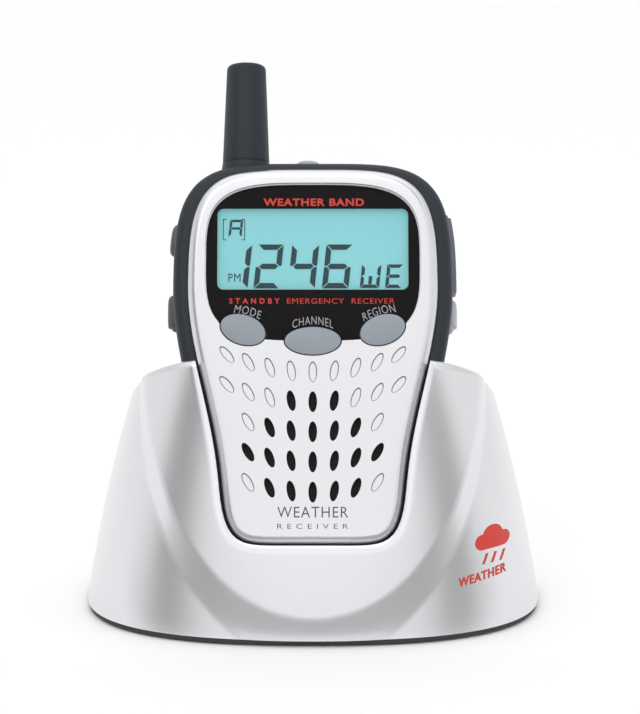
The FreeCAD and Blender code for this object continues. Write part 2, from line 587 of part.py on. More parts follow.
def make_cradle_small_parts():
    """Feet, screws, charging board, inlet and the parts soldered to the board."""
    foot = turned("foot_pattern", [(NOTHING, NOTHING), (total("foot_radius"), NOTHING),
                                   (total("foot_radius"), total("foot_height")),
                                   (NOTHING, total("foot_height"))], cradle_frame, kept=False)
    doc.recompute()
    feature("rubber_feet", copies(foot, [FreeCAD.Placement(V(x, y, 0), FreeCAD.Rotation()) for x, y in FEET]),
            cradle_frame)
    base_screw = screw("base_screw_pattern", "screw_head_radius", "screw_head_height", "screw_length")
    screw_z = size("base_bottom") + size("screw_seat")
    feature("base_screws", copies(base_screw, [FreeCAD.Placement(V(x, y, screw_z), FreeCAD.Rotation())
                                               for x, y in BASE_SCREWS]), cradle_frame)
    padded("charge_board", rectangle(total("-charge_board_half_width"), total("charge_board_half_width"),
                                     total("-charge_board_front"), total("charge_board_back")),
           total("board_thickness"), within(cradle_frame, z=size("board_bottom")))
    deck = size("board_bottom") + size("board_thickness")
    nose_z = deck + size("inlet_height") / 2
    half = size("inlet_half_width")
    front = size("inlet_front")
    inlet = block(-half, half, front, front + size("inlet_depth"), deck, deck + size("inlet_height"))
    inlet = inlet.fuse(rod(size("inlet_nose_radius"), V(0, front, nose_z), V(0, 1, 0),
                           size("inlet_end") - front))
    start = size("inlet_end") - size("inlet_bore_depth")
    inlet = inlet.cut(rod(size("inlet_bore_radius"), V(0, start, nose_z), V(0, 1, 0), FAR))
    feature("dc_inlet", inlet, cradle_frame)
    turned("dc_inlet_pin", [(NOTHING, NOTHING), (total("inlet_pin_radius"), NOTHING),
                            (total("inlet_pin_radius"), total("inlet_pin_length")),
                            (NOTHING, total("inlet_pin_length"))],
           within(cradle_frame, 0, start, nose_z, along_y))
    can = turned("capacitor_pattern", [(NOTHING, NOTHING), (total("capacitor_radius"), NOTHING),
                                       (total("capacitor_radius"), total("capacitor_height")),
                                       (NOTHING, total("capacitor_height"))], cradle_frame, kept=False)
    spots = [V(side * size("capacitor_x"), size("capacitor_y"), deck) for side in (-1, 1)]
    feature("charge_capacitors", copies(can, [FreeCAD.Placement(spot, FreeCAD.Rotation()) for spot in spots]),
            cradle_frame)
    padded("charge_regulator", rectangle(NOTHING, total("regulator_width"), NOTHING, total("regulator_depth")),
           total("regulator_height"), within(cradle_frame, -size("regulator_x"), size("regulator_y"), deck))


def make_charging_contacts():
    """A block under the pocket's floor with two sprung pins that touch the handset's pads."""
    floor = -size("pocket_gap") - size("pocket_wall")
    bottom = floor - size("block_height")
    half, depth = size("block_half_width"), size("block_depth")
    carrier = block(-half, half, size("pin_y") - depth / 2, size("pin_y") + depth / 2, bottom, floor)
    spring_floor = -size("spring_floor")
    leads = []
    for side, word in ((-1, "left"), (1, "right")):
        x = side * size("pin_x")
        carrier = carrier.cut(rod(size("pin_bore_radius"), V(x, size("pin_y"), spring_floor), V(0, 0, 1), 20))
        carrier = carrier.cut(rod(size("lead_radius"), V(x, size("pin_y"), bottom - 1), V(0, 0, 1), 20))
        shift = -size("pin_gap") - size("pin_length")
        turned("charge_pin_" + word, [
            (NOTHING, NOTHING), (total("pin_collar_radius"), NOTHING),
            (total("pin_collar_radius"), total("pin_collar_height")),
            (total("pin_radius"), total("pin_collar_height")), (total("pin_radius"), total("pin_length")),
            (NOTHING, total("pin_length"))], within(seat, x, size("pin_y"), shift))
        wire, end_gap = size("spring_wire"), size("spring_end_gap")
        length = shift - spring_floor - 2 * (wire + end_gap)
        spring = coil(size("spring_radius"), wire, length, size("spring_turns"))
        feature("pin_spring_" + word, spring, within(seat, x, size("pin_y"), spring_floor + wire + end_gap))
        lead = rod(size("lead_radius") - end_gap, V(x, size("pin_y"), spring_floor - size("lead_length")),
                   V(0, 0, 1), size("lead_length") - 2 * end_gap)
        leads.append(lead)
    feature("contact_block", carrier, seat)
    feature("contact_leads", Part.makeCompound(leads), seat)


# ---------------------------------------------------------------- handset case

def key_openings(start, end):
    """The holes that the three front keys pass through."""
    gap = size("key_gap")
    return [oval_prism(x, z, length + gap, height + gap, turn, start, end)
            for x, z, length, height, turn in KEYS.values()]


def make_front_cover():
    """The silver face: rounded rim, lens seat, window, key holes and speaker slots."""
    cover = round_rim(cover_prism(0.0, 0.0, size("flange_front")), 0.0, size("cover_round"))
    cover = cover.cut(cover_prism(-size("body_wall"), size("cover_wall"), size("flange_front") + 1))
    cover = cover.cut(lens_prism(size("seat_gap"), -1.0, size("lens_recess")))
    window = rounded_block(-size("window_half_width"), size("window_half_width"), 0, 5,
                           size("window_bottom"), size("window_top"), size("window_round"))
    cuts = [window] + key_openings(-1.0, 6.0)
    for x, z, turn, through in slot_places():
        end = size("cover_wall") + 1 if through else size("dimple_depth")
        cuts.append(oval_prism(x, z, size("slot_half_width"), size("slot_half_height"), turn, -1.0, end))
    return feature("front_cover", cover.cut(cuts), seat)


def side_cuts():
    """The openings in the body's sides and top, at running clearance."""
    gap = size("side_gap")
    cuts = []
    for side, low, high, proud in SIDE_KEYS.values():
        x0, x1 = (-FAR, -20) if side < 0 else (20, FAR)
        cuts.append(pill_along_x(size("side_middle"), size("side_half_depth") + gap, size(low) - gap,
                                 size(high) + gap, x0, x1))
    cuts.append(rod(size("jack_nose_radius") + size("jack_nose_gap"),
                    V(size("jack_inner"), size("side_middle"), size("jack_z")), V(1, 0, 0), FAR))
    cuts.append(rod(size("top_button_radius") + size("top_button_gap"),
                    V(size("top_button_x"), size("top_button_y"), size("main_board_top")), V(0, 0, 1), FAR))
    cuts.append(rod(size("neck_radius") + size("neck_gap"),
                    V(size("antenna_x"), size("antenna_y"), size("core_foot")), V(0, 0, 1), FAR))
    return cuts


def flap_region(grow, inward):
    """Where the earphone cover lies: a band of the body's right side."""
    middle, half = size("side_middle"), size("side_half_depth") + size("flap_lip") + grow
    band = body_prism(size("flap_proud") + grow * 10, middle - half, middle + half)
    band = band.cut(body_prism(-inward, middle - half - 1, middle + half + 1))
    top = size("flap_top") + (size("flap_swing_room") * size("flap_pivot_radius") if grow else 0.0)
    return band.common(block(20, FAR, middle - half, middle + half, size("flap_bottom") - grow, top))


def make_front_frame():
    """The dark front half of the body, with a flange that carries the silver cover."""
    front = size("frame_front")
    frame = round_rim(body_prism(0.0, front, size("seam_at")), front, size("front_round"))
    frame = frame.cut(cover_prism(size("seat_gap"), 0, size("flange_front")))
    inner_front = size("flange_front") + size("flange_thickness")
    frame = frame.cut(body_prism(-size("body_wall"), inner_front, size("seam_at") + 1))
    opening = cover_prism(-size("flange_width"), 0, inner_front + 1)
    cuts = [opening, flap_region(size("side_gap"), size("flap_depth") + size("seat_gap"))] + side_cuts()
    for side in (-1, 1):
        x, half = side * size("pin_x"), size("pad_half")
        cuts.append(block(x - half, x + half, size("pin_y") - half, size("pin_y") + half, -1,
                          size("pad_thickness")))
    frame = frame.cut(Part.makeCompound(cuts[:1])).cut(cuts[1:])
    return feature("front_frame", frame, seat)


def make_rear_housing():
    """The dark back half: battery bay, screw bosses and the opening for the battery cover."""
    start = size("seam_at") + size("seam_thickness")
    back_wall = FACE_BACK - size("body_wall")
    case = round_rim(body_prism(0.0, start, FACE_BACK), FACE_BACK, size("back_round"))
    hollow = body_prism(-size("body_wall"), start - 1, back_wall)
    bay_out = size("bay_half_width") + size("bay_wall") + size("bay_ledge")
    solids = [block(-bay_out, bay_out, size("bay_floor") - size("bay_floor_wall"), back_wall,
                    size("bay_bottom") - size("bay_wall"),
                    size("bay_top") + size("bay_wall"))]
    for x, z in CASE_SCREWS:
        solids.append(rod(size("boss_radius"), V(x, start, z), V(0, 1, 0), back_wall - start))
    case = case.cut(hollow.cut(Part.makeCompound(solids)))
    gap = size("door_gap")
    cuts = [block(-size("bay_half_width"), size("bay_half_width"), size("bay_floor"), FAR,
                  size("bay_bottom"), size("bay_top"))]
    door_bottom = size("door_pivot_z") - size("door_thickness") / 2 - gap
    cuts.append(block(-size("door_half_width") - gap, size("door_half_width") + gap, back_wall, FAR,
                      door_bottom, size("door_top") + gap))
    head = size("screw_head_radius") + size("screw_gap")
    for x, z in CASE_SCREWS:
        cuts.append(rod(size("screw_radius") + size("screw_gap"), V(x, 0, z), V(0, 1, 0), FAR))
        cuts.append(rod(head, V(x, FACE_BACK - size("case_screw_well"), z), V(0, 1, 0), 10))
    case = case.cut(cuts).cut(side_cuts())
    return feature("rear_housing", case, seat)


def make_seam_gasket():
    """A thin rubber ring between the two halves."""
    start, end = size("seam_at"), size("seam_at") + size("seam_thickness")
    ring = body_prism(-size("seam_inset"), start, end).cut(body_prism(-size("body_wall"), start - 1, end + 1))
    return feature("seam_gasket", ring.cut(side_cuts()), seat)


# ---------------------------------------------------------------- display, keys and sound

def make_display():
    """Lens, printed mask, liquid-crystal panel, its light, frame and contact strip."""
    front = size("lens_set_back")
    gap = size("key_gap", "lens_key_gap")
    holes = [oval_prism(x, z, length + gap, height + gap, turn, -1, size("lens_recess"))
             for x, z, length, height, turn in KEYS.values()]
    feature("display_lens", lens_prism(0.0, front, front + size("lens_thickness")).cut(holes), seat)
    window = rounded_block(-size("window_half_width"), size("window_half_width"), 0, 5,
                           size("window_bottom"), size("window_top"), size("window_round"))
    start = front + size("lens_thickness") + size("mask_gap")
    mask = lens_prism(-size("mask_inset"), start, start + size("mask_thickness")).cut(holes + [window])
    feature("lens_mask", mask, seat)
    back = size("lcd_front") + size("lcd_thickness")
    padded("lcd_panel", rectangle(total("-lcd_half_width"), total("lcd_half_width"), NOTHING,
                                  total("lcd_thickness")),
           total("lcd_top", "-lcd_bottom"), within(seat, 0, size("lcd_front"), size("lcd_bottom")))
    padded("backlight", rectangle(total("-lcd_half_width"), total("lcd_half_width"), NOTHING,
                                  total("light_thickness")), total("lcd_top", "-light_bottom"),
           within(seat, 0, back + size("light_gap"), size("light_bottom")))
    wall = size("lcd_frame_wall")
    edge = size("lcd_half_width") + size("lcd_gap")
    low, high = size("lcd_bottom") - size("lcd_gap"), size("lcd_top") + size("lcd_gap")
    ring = block(-edge - wall, edge + wall, size("lcd_front") - size("lcd_frame_lip"),
                 size("lcd_front") + size("lcd_frame_depth"), low - wall, high + wall)
    ring = ring.common(cover_prism(-size("flange_width") - size("lcd_frame_fit"), 0, FAR))
    ring = ring.cut(block(-edge, edge, 0, FAR, low, high))
    feature("lcd_frame", ring, seat)
    padded("contact_strip", rectangle(total("-mat_half_width"), total("mat_half_width"), NOTHING,
                                      total("main_board_front", "-lcd_front", "-lcd_thickness")),
           total("zebra_height"), within(seat, 0, back, size("lcd_bottom") + size("zebra_raise")))


def make_keys():
    """Three front keys with flanges that hold them under the cover, and the rubber mat behind."""
    for name, (x, z, length, height, turn) in KEYS.items():
        key = oval_prism(x, z, length, height, turn, -size("key_proud"), size("key_back"))
        key = round_rim(key, -size("key_proud"), size("key_round"))
        rim = size("key_flange")
        flange = oval_prism(x, z, length + rim, height + rim, turn, size("key_flange_front"),
                            size("key_back"))
        feature(name, key.fuse(flange), seat)
    mat = block(-size("mat_half_width"), size("mat_half_width"), size("mat_front"), size("main_board_front"),
                size("mat_bottom"), size("mat_top"))
    reach = size("mat_front") - size("dome_front")
    domes = [rod(size("dome_radius"), V(x, size("dome_front"), z), V(0, 1, 0), reach)
             for x, z, length, height, turn in KEYS.values()]
    feature("keypad_mat", mat.fuse(domes), seat)


def make_speaker():
    """A round speaker behind the slots: mesh, basket, cone and magnet."""
    middle = within(seat, 0, size("speaker_front"), size("speaker_z"), along_y)
    floor = total("speaker_depth", "-speaker_floor")
    cone_back = total("speaker_depth", "-speaker_floor", "-cone_thickness")
    cone_front = total("speaker_depth", "-speaker_floor", "-cone_thickness", "-cone_thickness")
    turned("speaker_basket", [
        (NOTHING, floor), (total("speaker_bore"), floor), (total("speaker_bore"), NOTHING),
        (total("speaker_radius"), NOTHING), (total("speaker_radius"), total("speaker_depth")),
        (NOTHING, total("speaker_depth"))], middle)
    turned("speaker_cone", [
        (NOTHING, cone_front), (total("cone_inner_radius"), cone_front),
        (total("speaker_bore", "-seat_gap"), total("cone_thickness")),
        (total("speaker_bore", "-seat_gap"), total("cone_thickness", "cone_thickness")),
        (total("cone_inner_radius"), cone_back), (NOTHING, cone_back)], middle)
    turned("speaker_magnet", [(NOTHING, NOTHING), (total("magnet_radius"), NOTHING),
                              (total("magnet_radius"), total("magnet_height")),
                              (NOTHING, total("magnet_height"))],
           within(seat, 0, size("speaker_front") + size("speaker_depth"), size("speaker_z"), along_y))
    turned("speaker_mesh", [(NOTHING, NOTHING), (total("mesh_radius"), NOTHING),
                            (total("mesh_radius"), total("mesh_thickness")),
                            (NOTHING, total("mesh_thickness"))],
           within(seat, 0, size("mesh_front"), size("speaker_z"), along_y))


def make_boards():
    """The main board, the screening can over the receiver and the processor."""
    padded("main_board", rectangle(total("-main_board_half_width"), total("main_board_half_width"), NOTHING,
                                   total("board_thickness")),
           total("main_board_top", "-main_board_bottom"),
           within(seat, 0, size("main_board_front"), size("main_board_bottom")))
    back = size("main_board_front") + size("board_thickness")
    padded("receiver_shield", rectangle(NOTHING, total("shield_width"), NOTHING, total("shield_depth")),
           total("shield_height"), within(seat, -size("shield_x"), back, size("shield_z")))
    padded("processor_chip", rectangle(NOTHING, total("chip_side"), NOTHING, total("chip_depth")),
           total("chip_side"), within(seat, size("chip_x"), back, size("chip_z")))


# ---------------------------------------------------------------- sides and top

def make_side_keys():
    """Keys that follow the body's flank and stand a little proud of it, and their switches."""
    switches = []
    gap, side_size, deep = size("switch_gap"), size("switch_side"), size("switch_depth")
    middle = size("side_middle")
    for name, (side, low, high, proud) in SIDE_KEYS.items():
        x0, x1 = (-FAR, -size("side_inner")) if side < 0 else (size("side_inner"), FAR)
        bar = pill_along_x(middle, size("side_half_depth"), size(low), size(high), x0, x1)
        feature(name, bar.common(body_prism(size(proud), 0, FACE_BACK)), seat)
        z = (size(low) + size(high)) / 2
        x = side * (size("side_inner") - gap)
        ends = sorted((x, x - side * deep))
        switches.append(block(ends[0], ends[1], middle - side_size / 2, middle + side_size / 2,
                              z - side_size / 2, z + side_size / 2))
    turned("top_button", [
        (NOTHING, NOTHING), (total("top_button_radius"), NOTHING),
        (total("top_button_radius"), total("top_button_length", "-top_button_bevel")),
        (total("top_button_radius", "-key_round"), total("top_button_length")),
        (NOTHING, total("top_button_length"))],
        within(seat, size("top_button_x"), size("top_button_y"), size("top_button_top", "-top_button_length")))
    foot = size("top_button_top", "-top_button_length") - gap
    half = side_size / 2
    x, y = size("top_button_x"), size("top_button_y")
    switches.append(block(x - half, x + half, y - half, y + half, foot - deep, foot))
    feature("tact_switches", Part.makeCompound(switches), seat)


def make_earphone_socket():
    """The earphone socket and the rubber flap over it, which swings up from its lower end."""
    middle, z, half = size("side_middle"), size("jack_z"), size("jack_half")
    inner_wall = size("body_half_width") - size("body_wall") - size("jack_wall_gap")
    front = middle - half + size("jack_trim")
    jack = block(size("jack_inner"), inner_wall, front, middle + half, z - half, z + half)
    jack = jack.fuse(rod(size("jack_nose_radius"), V(size("jack_inner"), middle, z), V(1, 0, 0),
                         size("jack_nose_end") - size("jack_inner")))
    bore_start = size("jack_nose_end", "-jack_bore_depth")
    jack = jack.cut(rod(size("jack_bore_radius"), V(bore_start, middle, z), V(1, 0, 0), FAR))
    feature("earphone_jack", jack, seat)
    flap = flap_region(0.0, size("flap_depth"))
    reach = size("side_half_depth") + size("flap_lip")
    pivot = rod(size("flap_pivot_radius"), V(size("flap_pivot_x"), middle - reach, size("flap_top")),
                V(0, 1, 0), 2 * reach)
    feature("jack_cover", flap.fuse(pivot), seat)


def make_antenna():
    """A rubber sleeve on a wire core, standing in a flared collar."""
    x, y = size("antenna_x"), size("antenna_y")
    turned("antenna_sleeve", [
        (total("core_radius", "core_gap"), NOTHING), (total("antenna_base_radius"), NOTHING),
        (total("antenna_tip_radius"), total("antenna_top", "-antenna_joint", "-antenna_round")),
        (total("antenna_tip_radius", "-antenna_round"), total("antenna_top", "-antenna_joint")),
        (NOTHING, total("antenna_top", "-antenna_joint")),
        (NOTHING, total("core_top", "-antenna_joint", "core_gap")),
        (total("core_radius", "core_gap"), total("core_top", "-antenna_joint", "core_gap"))],
        within(seat, x, y, size("antenna_joint")))
    turned("antenna_core", [(NOTHING, NOTHING), (total("core_radius"), NOTHING),
                            (total("core_radius"), total("core_top", "-core_foot")),
                            (NOTHING, total("core_top", "-core_foot"))],
           within(seat, x, y, size("core_foot")))
    joint = size("antenna_joint") - size("collar_lip")
    curve = Part.BSplineCurve()
    curve.interpolate([V(size("collar_foot_radius"), 0, size("collar_foot")),
                       V(size("antenna_base_radius") + size("collar_flare"), 0,
                         (size("collar_foot") + joint) / 2 + size("collar_lift")),
                       V(size("antenna_base_radius") + size("collar_lip"), 0, joint)])
    side = curve.toShape()
    corners = [V(size("antenna_base_radius", "collar_lip"), 0, joint), V(0, 0, joint),
               V(0, 0, size("collar_foot")), V(size("collar_foot_radius"), 0, size("collar_foot"))]
    profile = Part.Face(Part.Wire([side] + Part.makePolygon(corners).Edges))
    flare = profile.revolve(V(0, 0, 0), V(0, 0, 1), 360)
    flare.translate(V(x, y, 0))
    flare = flare.cut(body_prism(size("collar_gap"), 0, FACE_BACK))
    neck = rod(size("neck_radius"), V(x, y, size("neck_foot")), V(0, 0, 1), joint - size("neck_foot"))
    collar = flare.fuse(neck).cut(rod(size("core_radius", "core_gap"), V(x, y, 0), V(0, 0, 1), 2 * FAR))
    collar = max(collar.Solids, key=lambda solid: solid.Volume)
    feature("antenna_collar", collar, seat)


# ---------------------------------------------------------------- battery and belt clip

def make_battery():
    """Three slim cells in the bay, with plates at one end and springs at the other."""
    bottom = size("bay_bottom") + size("cell_spring_room")
    for column, word in ((-1, "left"), (0, "middle"), (1, "right")):
        turned("cell_" + word, [
            (NOTHING, NOTHING), (total("cell_radius"), NOTHING), (total("cell_radius"), total("cell_length")),
            (total("cell_cap_radius"), total("cell_length")),
            (total("cell_cap_radius"), total("cell_length", "cell_cap_height")),
            (NOTHING, total("cell_length", "cell_cap_height"))],
            within(seat, column * size("cell_pitch"), size("cell_middle_y"), bottom))
    plates, springs = [], []
    thin, half = size("contact_thickness"), size("contact_half_width")
    for column in (-1, 0, 1):
        x, y = column * size("cell_pitch"), size("cell_middle_y")
        for z in (size("bay_bottom"), size("bay_top") - thin):
            plates.append(block(x - half, x + half, y - half, y + half, z, z + thin))
        lift = size("cell_spring_wire") + size("cell_spring_gap")
        spring = coil(size("cell_spring_radius"), size("cell_spring_wire"),
                      size("cell_spring_room") - thin - 2 * lift, size("cell_spring_turns"))
        spring.translate(V(x, y, size("bay_bottom") + thin + lift))
        springs.append(spring)
    feature("battery_plates", Part.makeCompound(plates), seat)
    feature("battery_springs", Part.makeCompound(springs), seat)


def make_battery_cover():
    """The cover of the bay, with two lugs for the belt clip; it hooks in at its lower edge."""
    back = size("door_back")
    front = back - size("door_thickness")
    radius = size("door_thickness") / 2
    half = size("door_half_width")
    door = block(-half, half, front, back, size("door_pivot_z"), size("door_top"))
    door = door.fuse(rod(radius, V(-half, front + radius, size("door_pivot_z")), V(1, 0, 0), 2 * half))
    y, z, barrel = size("clip_pivot_y"), size("clip_pivot_z"), size("clip_barrel_radius")
    for side in (-1, 1):
        ends = sorted((side * size("lug_inner"), side * size("lug_outer")))
        door = door.fuse(block(ends[0], ends[1], back - size("lug_root"), y, z - barrel, z + barrel))
        door = door.fuse(rod(barrel, V(ends[0], y, z), V(1, 0, 0), ends[1] - ends[0]))
    hole = size("clip_pin_radius") + size("clip_pin_gap")
    door = door.cut(rod(hole, V(-FAR, y, z), V(1, 0, 0), 2 * FAR))
    feature("battery_cover", door, seat)


def make_belt_clip():
    """A sprung clip on a pin between the cover's lugs."""
    half, front, thick = size("clip_half_width"), size("clip_front"), size("clip_thickness")
    tip_y, tip, bend = size("clip_tip_y"), size("clip_tip"), size("clip_bend")
    corners = [V(-half, front, size("clip_top")), V(-half, front + thick, size("clip_top")),
               V(-half, front + thick, bend - size("clip_bend_shift")),
               V(-half, tip_y + size("clip_tip_width"), tip), V(-half, tip_y, tip + size("clip_tip_width")),
               V(-half, front, bend), V(-half, front, size("clip_top"))]
    clip = Part.Face(Part.makePolygon(corners)).extrude(V(2 * half, 0, 0))
    y, z, barrel = size("clip_pivot_y"), size("clip_pivot_z"), size("clip_barrel_radius")
    for side in (-1, 1):
        ends = sorted((side * size("clip_coil_half"), side * size("clip_barrel_half")))
        clip = clip.fuse(block(ends[0], ends[1], y, front + size("clip_web"), z - barrel, z + barrel))
        clip = clip.fuse(rod(barrel, V(ends[0], y, z), V(1, 0, 0), ends[1] - ends[0]))
    radius = size("clip_pin_radius")
    clip = clip.cut(rod(radius + size("clip_pin_gap"), V(-FAR, y, z), V(1, 0, 0), 2 * FAR))
    feature("belt_clip", clip, seat)
    turned("clip_pin", [(NOTHING, NOTHING), (total("clip_pin_radius"), NOTHING),
                        (total("clip_pin_radius"), total("lug_outer", "lug_outer")),
                        (NOTHING, total("lug_outer", "lug_outer"))],
           within(seat, -size("lug_outer"), y, z, along_x))
    wire = size("clip_coil_wire")
    length = 2 * (size("clip_coil_half") - 2 * wire)
    spring = coil(size("clip_coil_radius"), wire, length, size("clip_coil_turns"))
    feature("clip_spring", spring, within(seat, -length / 2, y, z, along_x))


def make_case_screws_and_pads():
    """Four screws from the back, and the two charging pads in the foot."""
    pattern = screw("case_screw_pattern", "screw_head_radius", "screw_head_height", "case_screw_length")
    towards_face = FreeCAD.Rotation(V(1, 0, 0), 90)
    seat_y = FACE_BACK - size("case_screw_sink")
    feature("case_screws", copies(pattern, [FreeCAD.Placement(V(x, seat_y, z), towards_face)
                                            for x, z in CASE_SCREWS]), seat)
    half = size("pad_half") - size("pad_gap")
    pads = [block(side * size("pin_x") - half, side * size("pin_x") + half, size("pin_y") - half,
                  size("pin_y") + half, 0.0, size("pad_thickness")) for side in (-1, 1)]
    feature("charge_pads", Part.makeCompound(pads), seat)


# ---------------------------------------------------------------- build and write

def write_parts():
    """Checks every object of the document and writes each piece."""
    doc.recompute()
    for thing in doc.Objects:
        if "Invalid" in thing.State or "Error" in thing.State:
            raise RuntimeError(thing.Name + " failed: " + str(thing.State))
    os.makedirs("parts", exist_ok=True)
    for thing in nodes:
        shape = thing.Shape
        if shape.isNull() or not shape.isValid():
            raise RuntimeError(thing.Label + " has no valid shape")
        shape.exportStep(os.path.join("parts", thing.Label + ".step"))
        print(thing.Label, len(shape.Solids), round(shape.Volume, 2))


make_cradle_shell()
make_cradle_base()
make_cradle_small_parts()
make_charging_contacts()
make_front_cover()
make_front_frame()
make_rear_housing()
make_seam_gasket()
make_display()
make_keys()
make_speaker()
make_boards()
make_side_keys()
make_earphone_socket()
make_antenna()
make_battery()
make_battery_cover()
make_belt_clip()
make_case_screws_and_pads()
write_parts()
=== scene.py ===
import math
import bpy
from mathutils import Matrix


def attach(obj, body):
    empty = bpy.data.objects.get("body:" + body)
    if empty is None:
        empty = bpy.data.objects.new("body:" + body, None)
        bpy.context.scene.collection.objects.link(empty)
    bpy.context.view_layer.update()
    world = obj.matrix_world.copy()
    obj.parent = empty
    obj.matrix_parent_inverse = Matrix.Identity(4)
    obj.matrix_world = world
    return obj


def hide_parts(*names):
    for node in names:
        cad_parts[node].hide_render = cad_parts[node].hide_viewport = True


bl_info = {
    "name": "Emergency Radio In Its Cradle",
    "version": (1, 0, 0),
    "blender": (4, 2, 0),
    "location": "View3D > Sidebar > Radio",
    "description": "Builds the looks of a hand-held weather receiver in its charging cradle",
    "category": "Object",
}

import bmesh
import bpy
import numpy as np
from bpy.props import FloatProperty, FloatVectorProperty, PointerProperty
from mathutils import Matrix, Vector

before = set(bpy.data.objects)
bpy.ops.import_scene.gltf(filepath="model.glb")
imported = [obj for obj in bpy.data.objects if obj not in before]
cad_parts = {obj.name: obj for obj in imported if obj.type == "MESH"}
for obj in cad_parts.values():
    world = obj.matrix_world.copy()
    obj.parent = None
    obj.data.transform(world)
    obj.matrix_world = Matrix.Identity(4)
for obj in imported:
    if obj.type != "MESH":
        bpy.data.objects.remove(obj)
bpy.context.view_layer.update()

MM = 0.001
STUDIO_ROUND = ((0.0, 0.95), (0.17, 0.76), (0.25, 0.20), (0.32, 0.20), (0.40, 0.66), (1.0, 0.62))
STUDIO_UP = ((0.0, 1.02), (0.15, 0.98), (0.5, 0.80), (1.0, 1.55))
TAU = math.tau

# The handset leans back about the world's x axis.
# Its own frame is x right, y in from its face and z up the face.
LEAN = math.radians(21.0)
SEAT = Matrix.Translation(Vector((0.0, -34.8, 22.2))) @ Matrix.Rotation(-LEAN, 4, "X")

# Sizes below are in millimetres, as in the CAD part.
SHELL_BOTTOM = 1.5
EAR_TOP = 61.0
EAR_AHEAD = 24.0
EAR_SLOPE = math.tan(math.radians(26.6))
APRON_RISE = 1.4
POCKET_GAP = 0.4
POCKET_WALL = 2.0
SHELL_WALL = 2.2
BODY = dict(half=31.2, foot=24.5, low=0.0, high=86.4)
COVER = dict(half=27.8, foot=20.5, low=0.3, high=84.2)
FRAME_FRONT = 3.4
THICKNESS = 31.0
SIDE_MIDDLE = 11.6
SIDE_HALF = 2.7

# The handset's outline: widest at one height, a superellipse above it and another below, tapered below.
WIDEST = 50.0
TOP_POWER = 4.4
FOOT_POWER = 7.0
TAPER_START = 12.0
TAPER_RISE = 46.0

# The cradle's outline and its apron, which swells between two crease ellipses.
CRADLE_POWER = 2.5
INNER_CREASE = dict(half=36.8, tall=49.7, middle=56.0)
OUTER_CREASE = dict(half=38.6, tall=55.0, middle=52.0)
SKIN_INSET = 0.02
TOP_ROUND = 1.6
NOTCH_HALF = 21.8
NOTCH_FLOOR = 17.5
NOTCH_LEVEL = 24.6
POCKET_OPEN = 58.0
FAR = 120.0
INLET_RADIUS = 3.75
INLET_HEIGHT = 10.0
PIN_SPREAD = 5.0
PIN_DEPTH = 10.0

# The speaker slots: columns fan out and rise away from the middle.
SLOT_PITCH = 4.73
SLOT_TOP = 38.3
SLOT_DROP = 6.65
SLOT_RISE = 0.24
SLOT_FAN = 10.0
SLOT_HALF_WIDTH = 0.94
SLOT_HALF_HEIGHT = 2.29

ANTENNA = dict(x=-15.2, y=13.0, foot=88.0, top=110.9, tip_round=1.1, base_radius=5.3, tip_radius=4.45)

# The camera's lens and film are in millimetres, as is its distance.
CAMERA_FILM = 36.0
CAMERA_LENS = 144.2017
CAMERA_RISE = math.radians(12.0)
CAMERA_AWAY = 650.0
CAMERA_AIM = (1.5909, 0.0, 56.8)
KEYS = {
    "mode_key": (-15.4, 47.7, 5.1, 3.3, -18.0),
    "channel_key": (0.0, 45.2, 6.2, 3.1, 0.0),
    "area_key": (15.4, 47.7, 5.1, 3.3, 18.0),
}


# ---------------------------------------------------------------- properties

class RadioSizes(bpy.types.PropertyGroup):
    """Sizes a user would change."""
    key_dome: FloatProperty(name="Key dome", description="Height of a front key's crown over its rim, in mm",
                            default=0.55, min=0.0, max=0.9)
    edge_round: FloatProperty(name="Edge round", description="Softness of the cradle's opening edge, in mm",
                              default=1.3, min=0.2, max=3.0)
    legend_size: FloatProperty(name="Legend size", description="Height of the legends over the keys, in mm",
                               default=1.85, min=1.0, max=3.0)


class RadioColours(bpy.types.PropertyGroup):
    """Colours a user would change."""
    silver: FloatVectorProperty(name="Silver", description="Silver paint", subtype="COLOR", size=3,
                                default=(0.76, 0.76, 0.785), min=0.0, max=1.0)
    slate: FloatVectorProperty(name="Slate", description="Dark blue-grey body", subtype="COLOR", size=3,
                               default=(0.013, 0.019, 0.026), min=0.0, max=1.0)
    key: FloatVectorProperty(name="Key", description="Front keys", subtype="COLOR", size=3,
                             default=(0.27, 0.30, 0.34), min=0.0, max=1.0)
    display: FloatVectorProperty(name="Display", description="Lit display", subtype="COLOR", size=3,
                                 default=(0.23, 0.55, 0.58), min=0.0, max=1.0)
    print_red: FloatVectorProperty(name="Red print", description="Red print", subtype="COLOR", size=3,
                                   default=(0.60, 0.035, 0.02), min=0.0, max=1.0)


def sizes():
    """The scene's sizes."""
    return bpy.context.scene.radio_sizes


def colours():
    """The scene's colours."""
    return bpy.context.scene.radio_colours


# ---------------------------------------------------------------- materials

def plain(name, colour, roughness=0.5, metallic=0.0, specular=0.5, coat=0.0, alpha=1.0):
    """A principled material with one colour; every number sits on the shader's own socket."""
    name = "finish_" + name
    if name in bpy.data.materials:
        return bpy.data.materials[name]
    made = bpy.data.materials.new(name)
    made.use_nodes = True
    shader = made.node_tree.nodes["Principled BSDF"]
    shader.inputs["Base Color"].default_value = (*colour, 1.0)
    shader.inputs["Roughness"].default_value = roughness
    shader.inputs["Metallic"].default_value = metallic
    shader.inputs["Specular IOR Level"].default_value = specular
    shader.inputs["Coat Weight"].default_value = coat
    shader.inputs["Alpha"].default_value = alpha
    return made


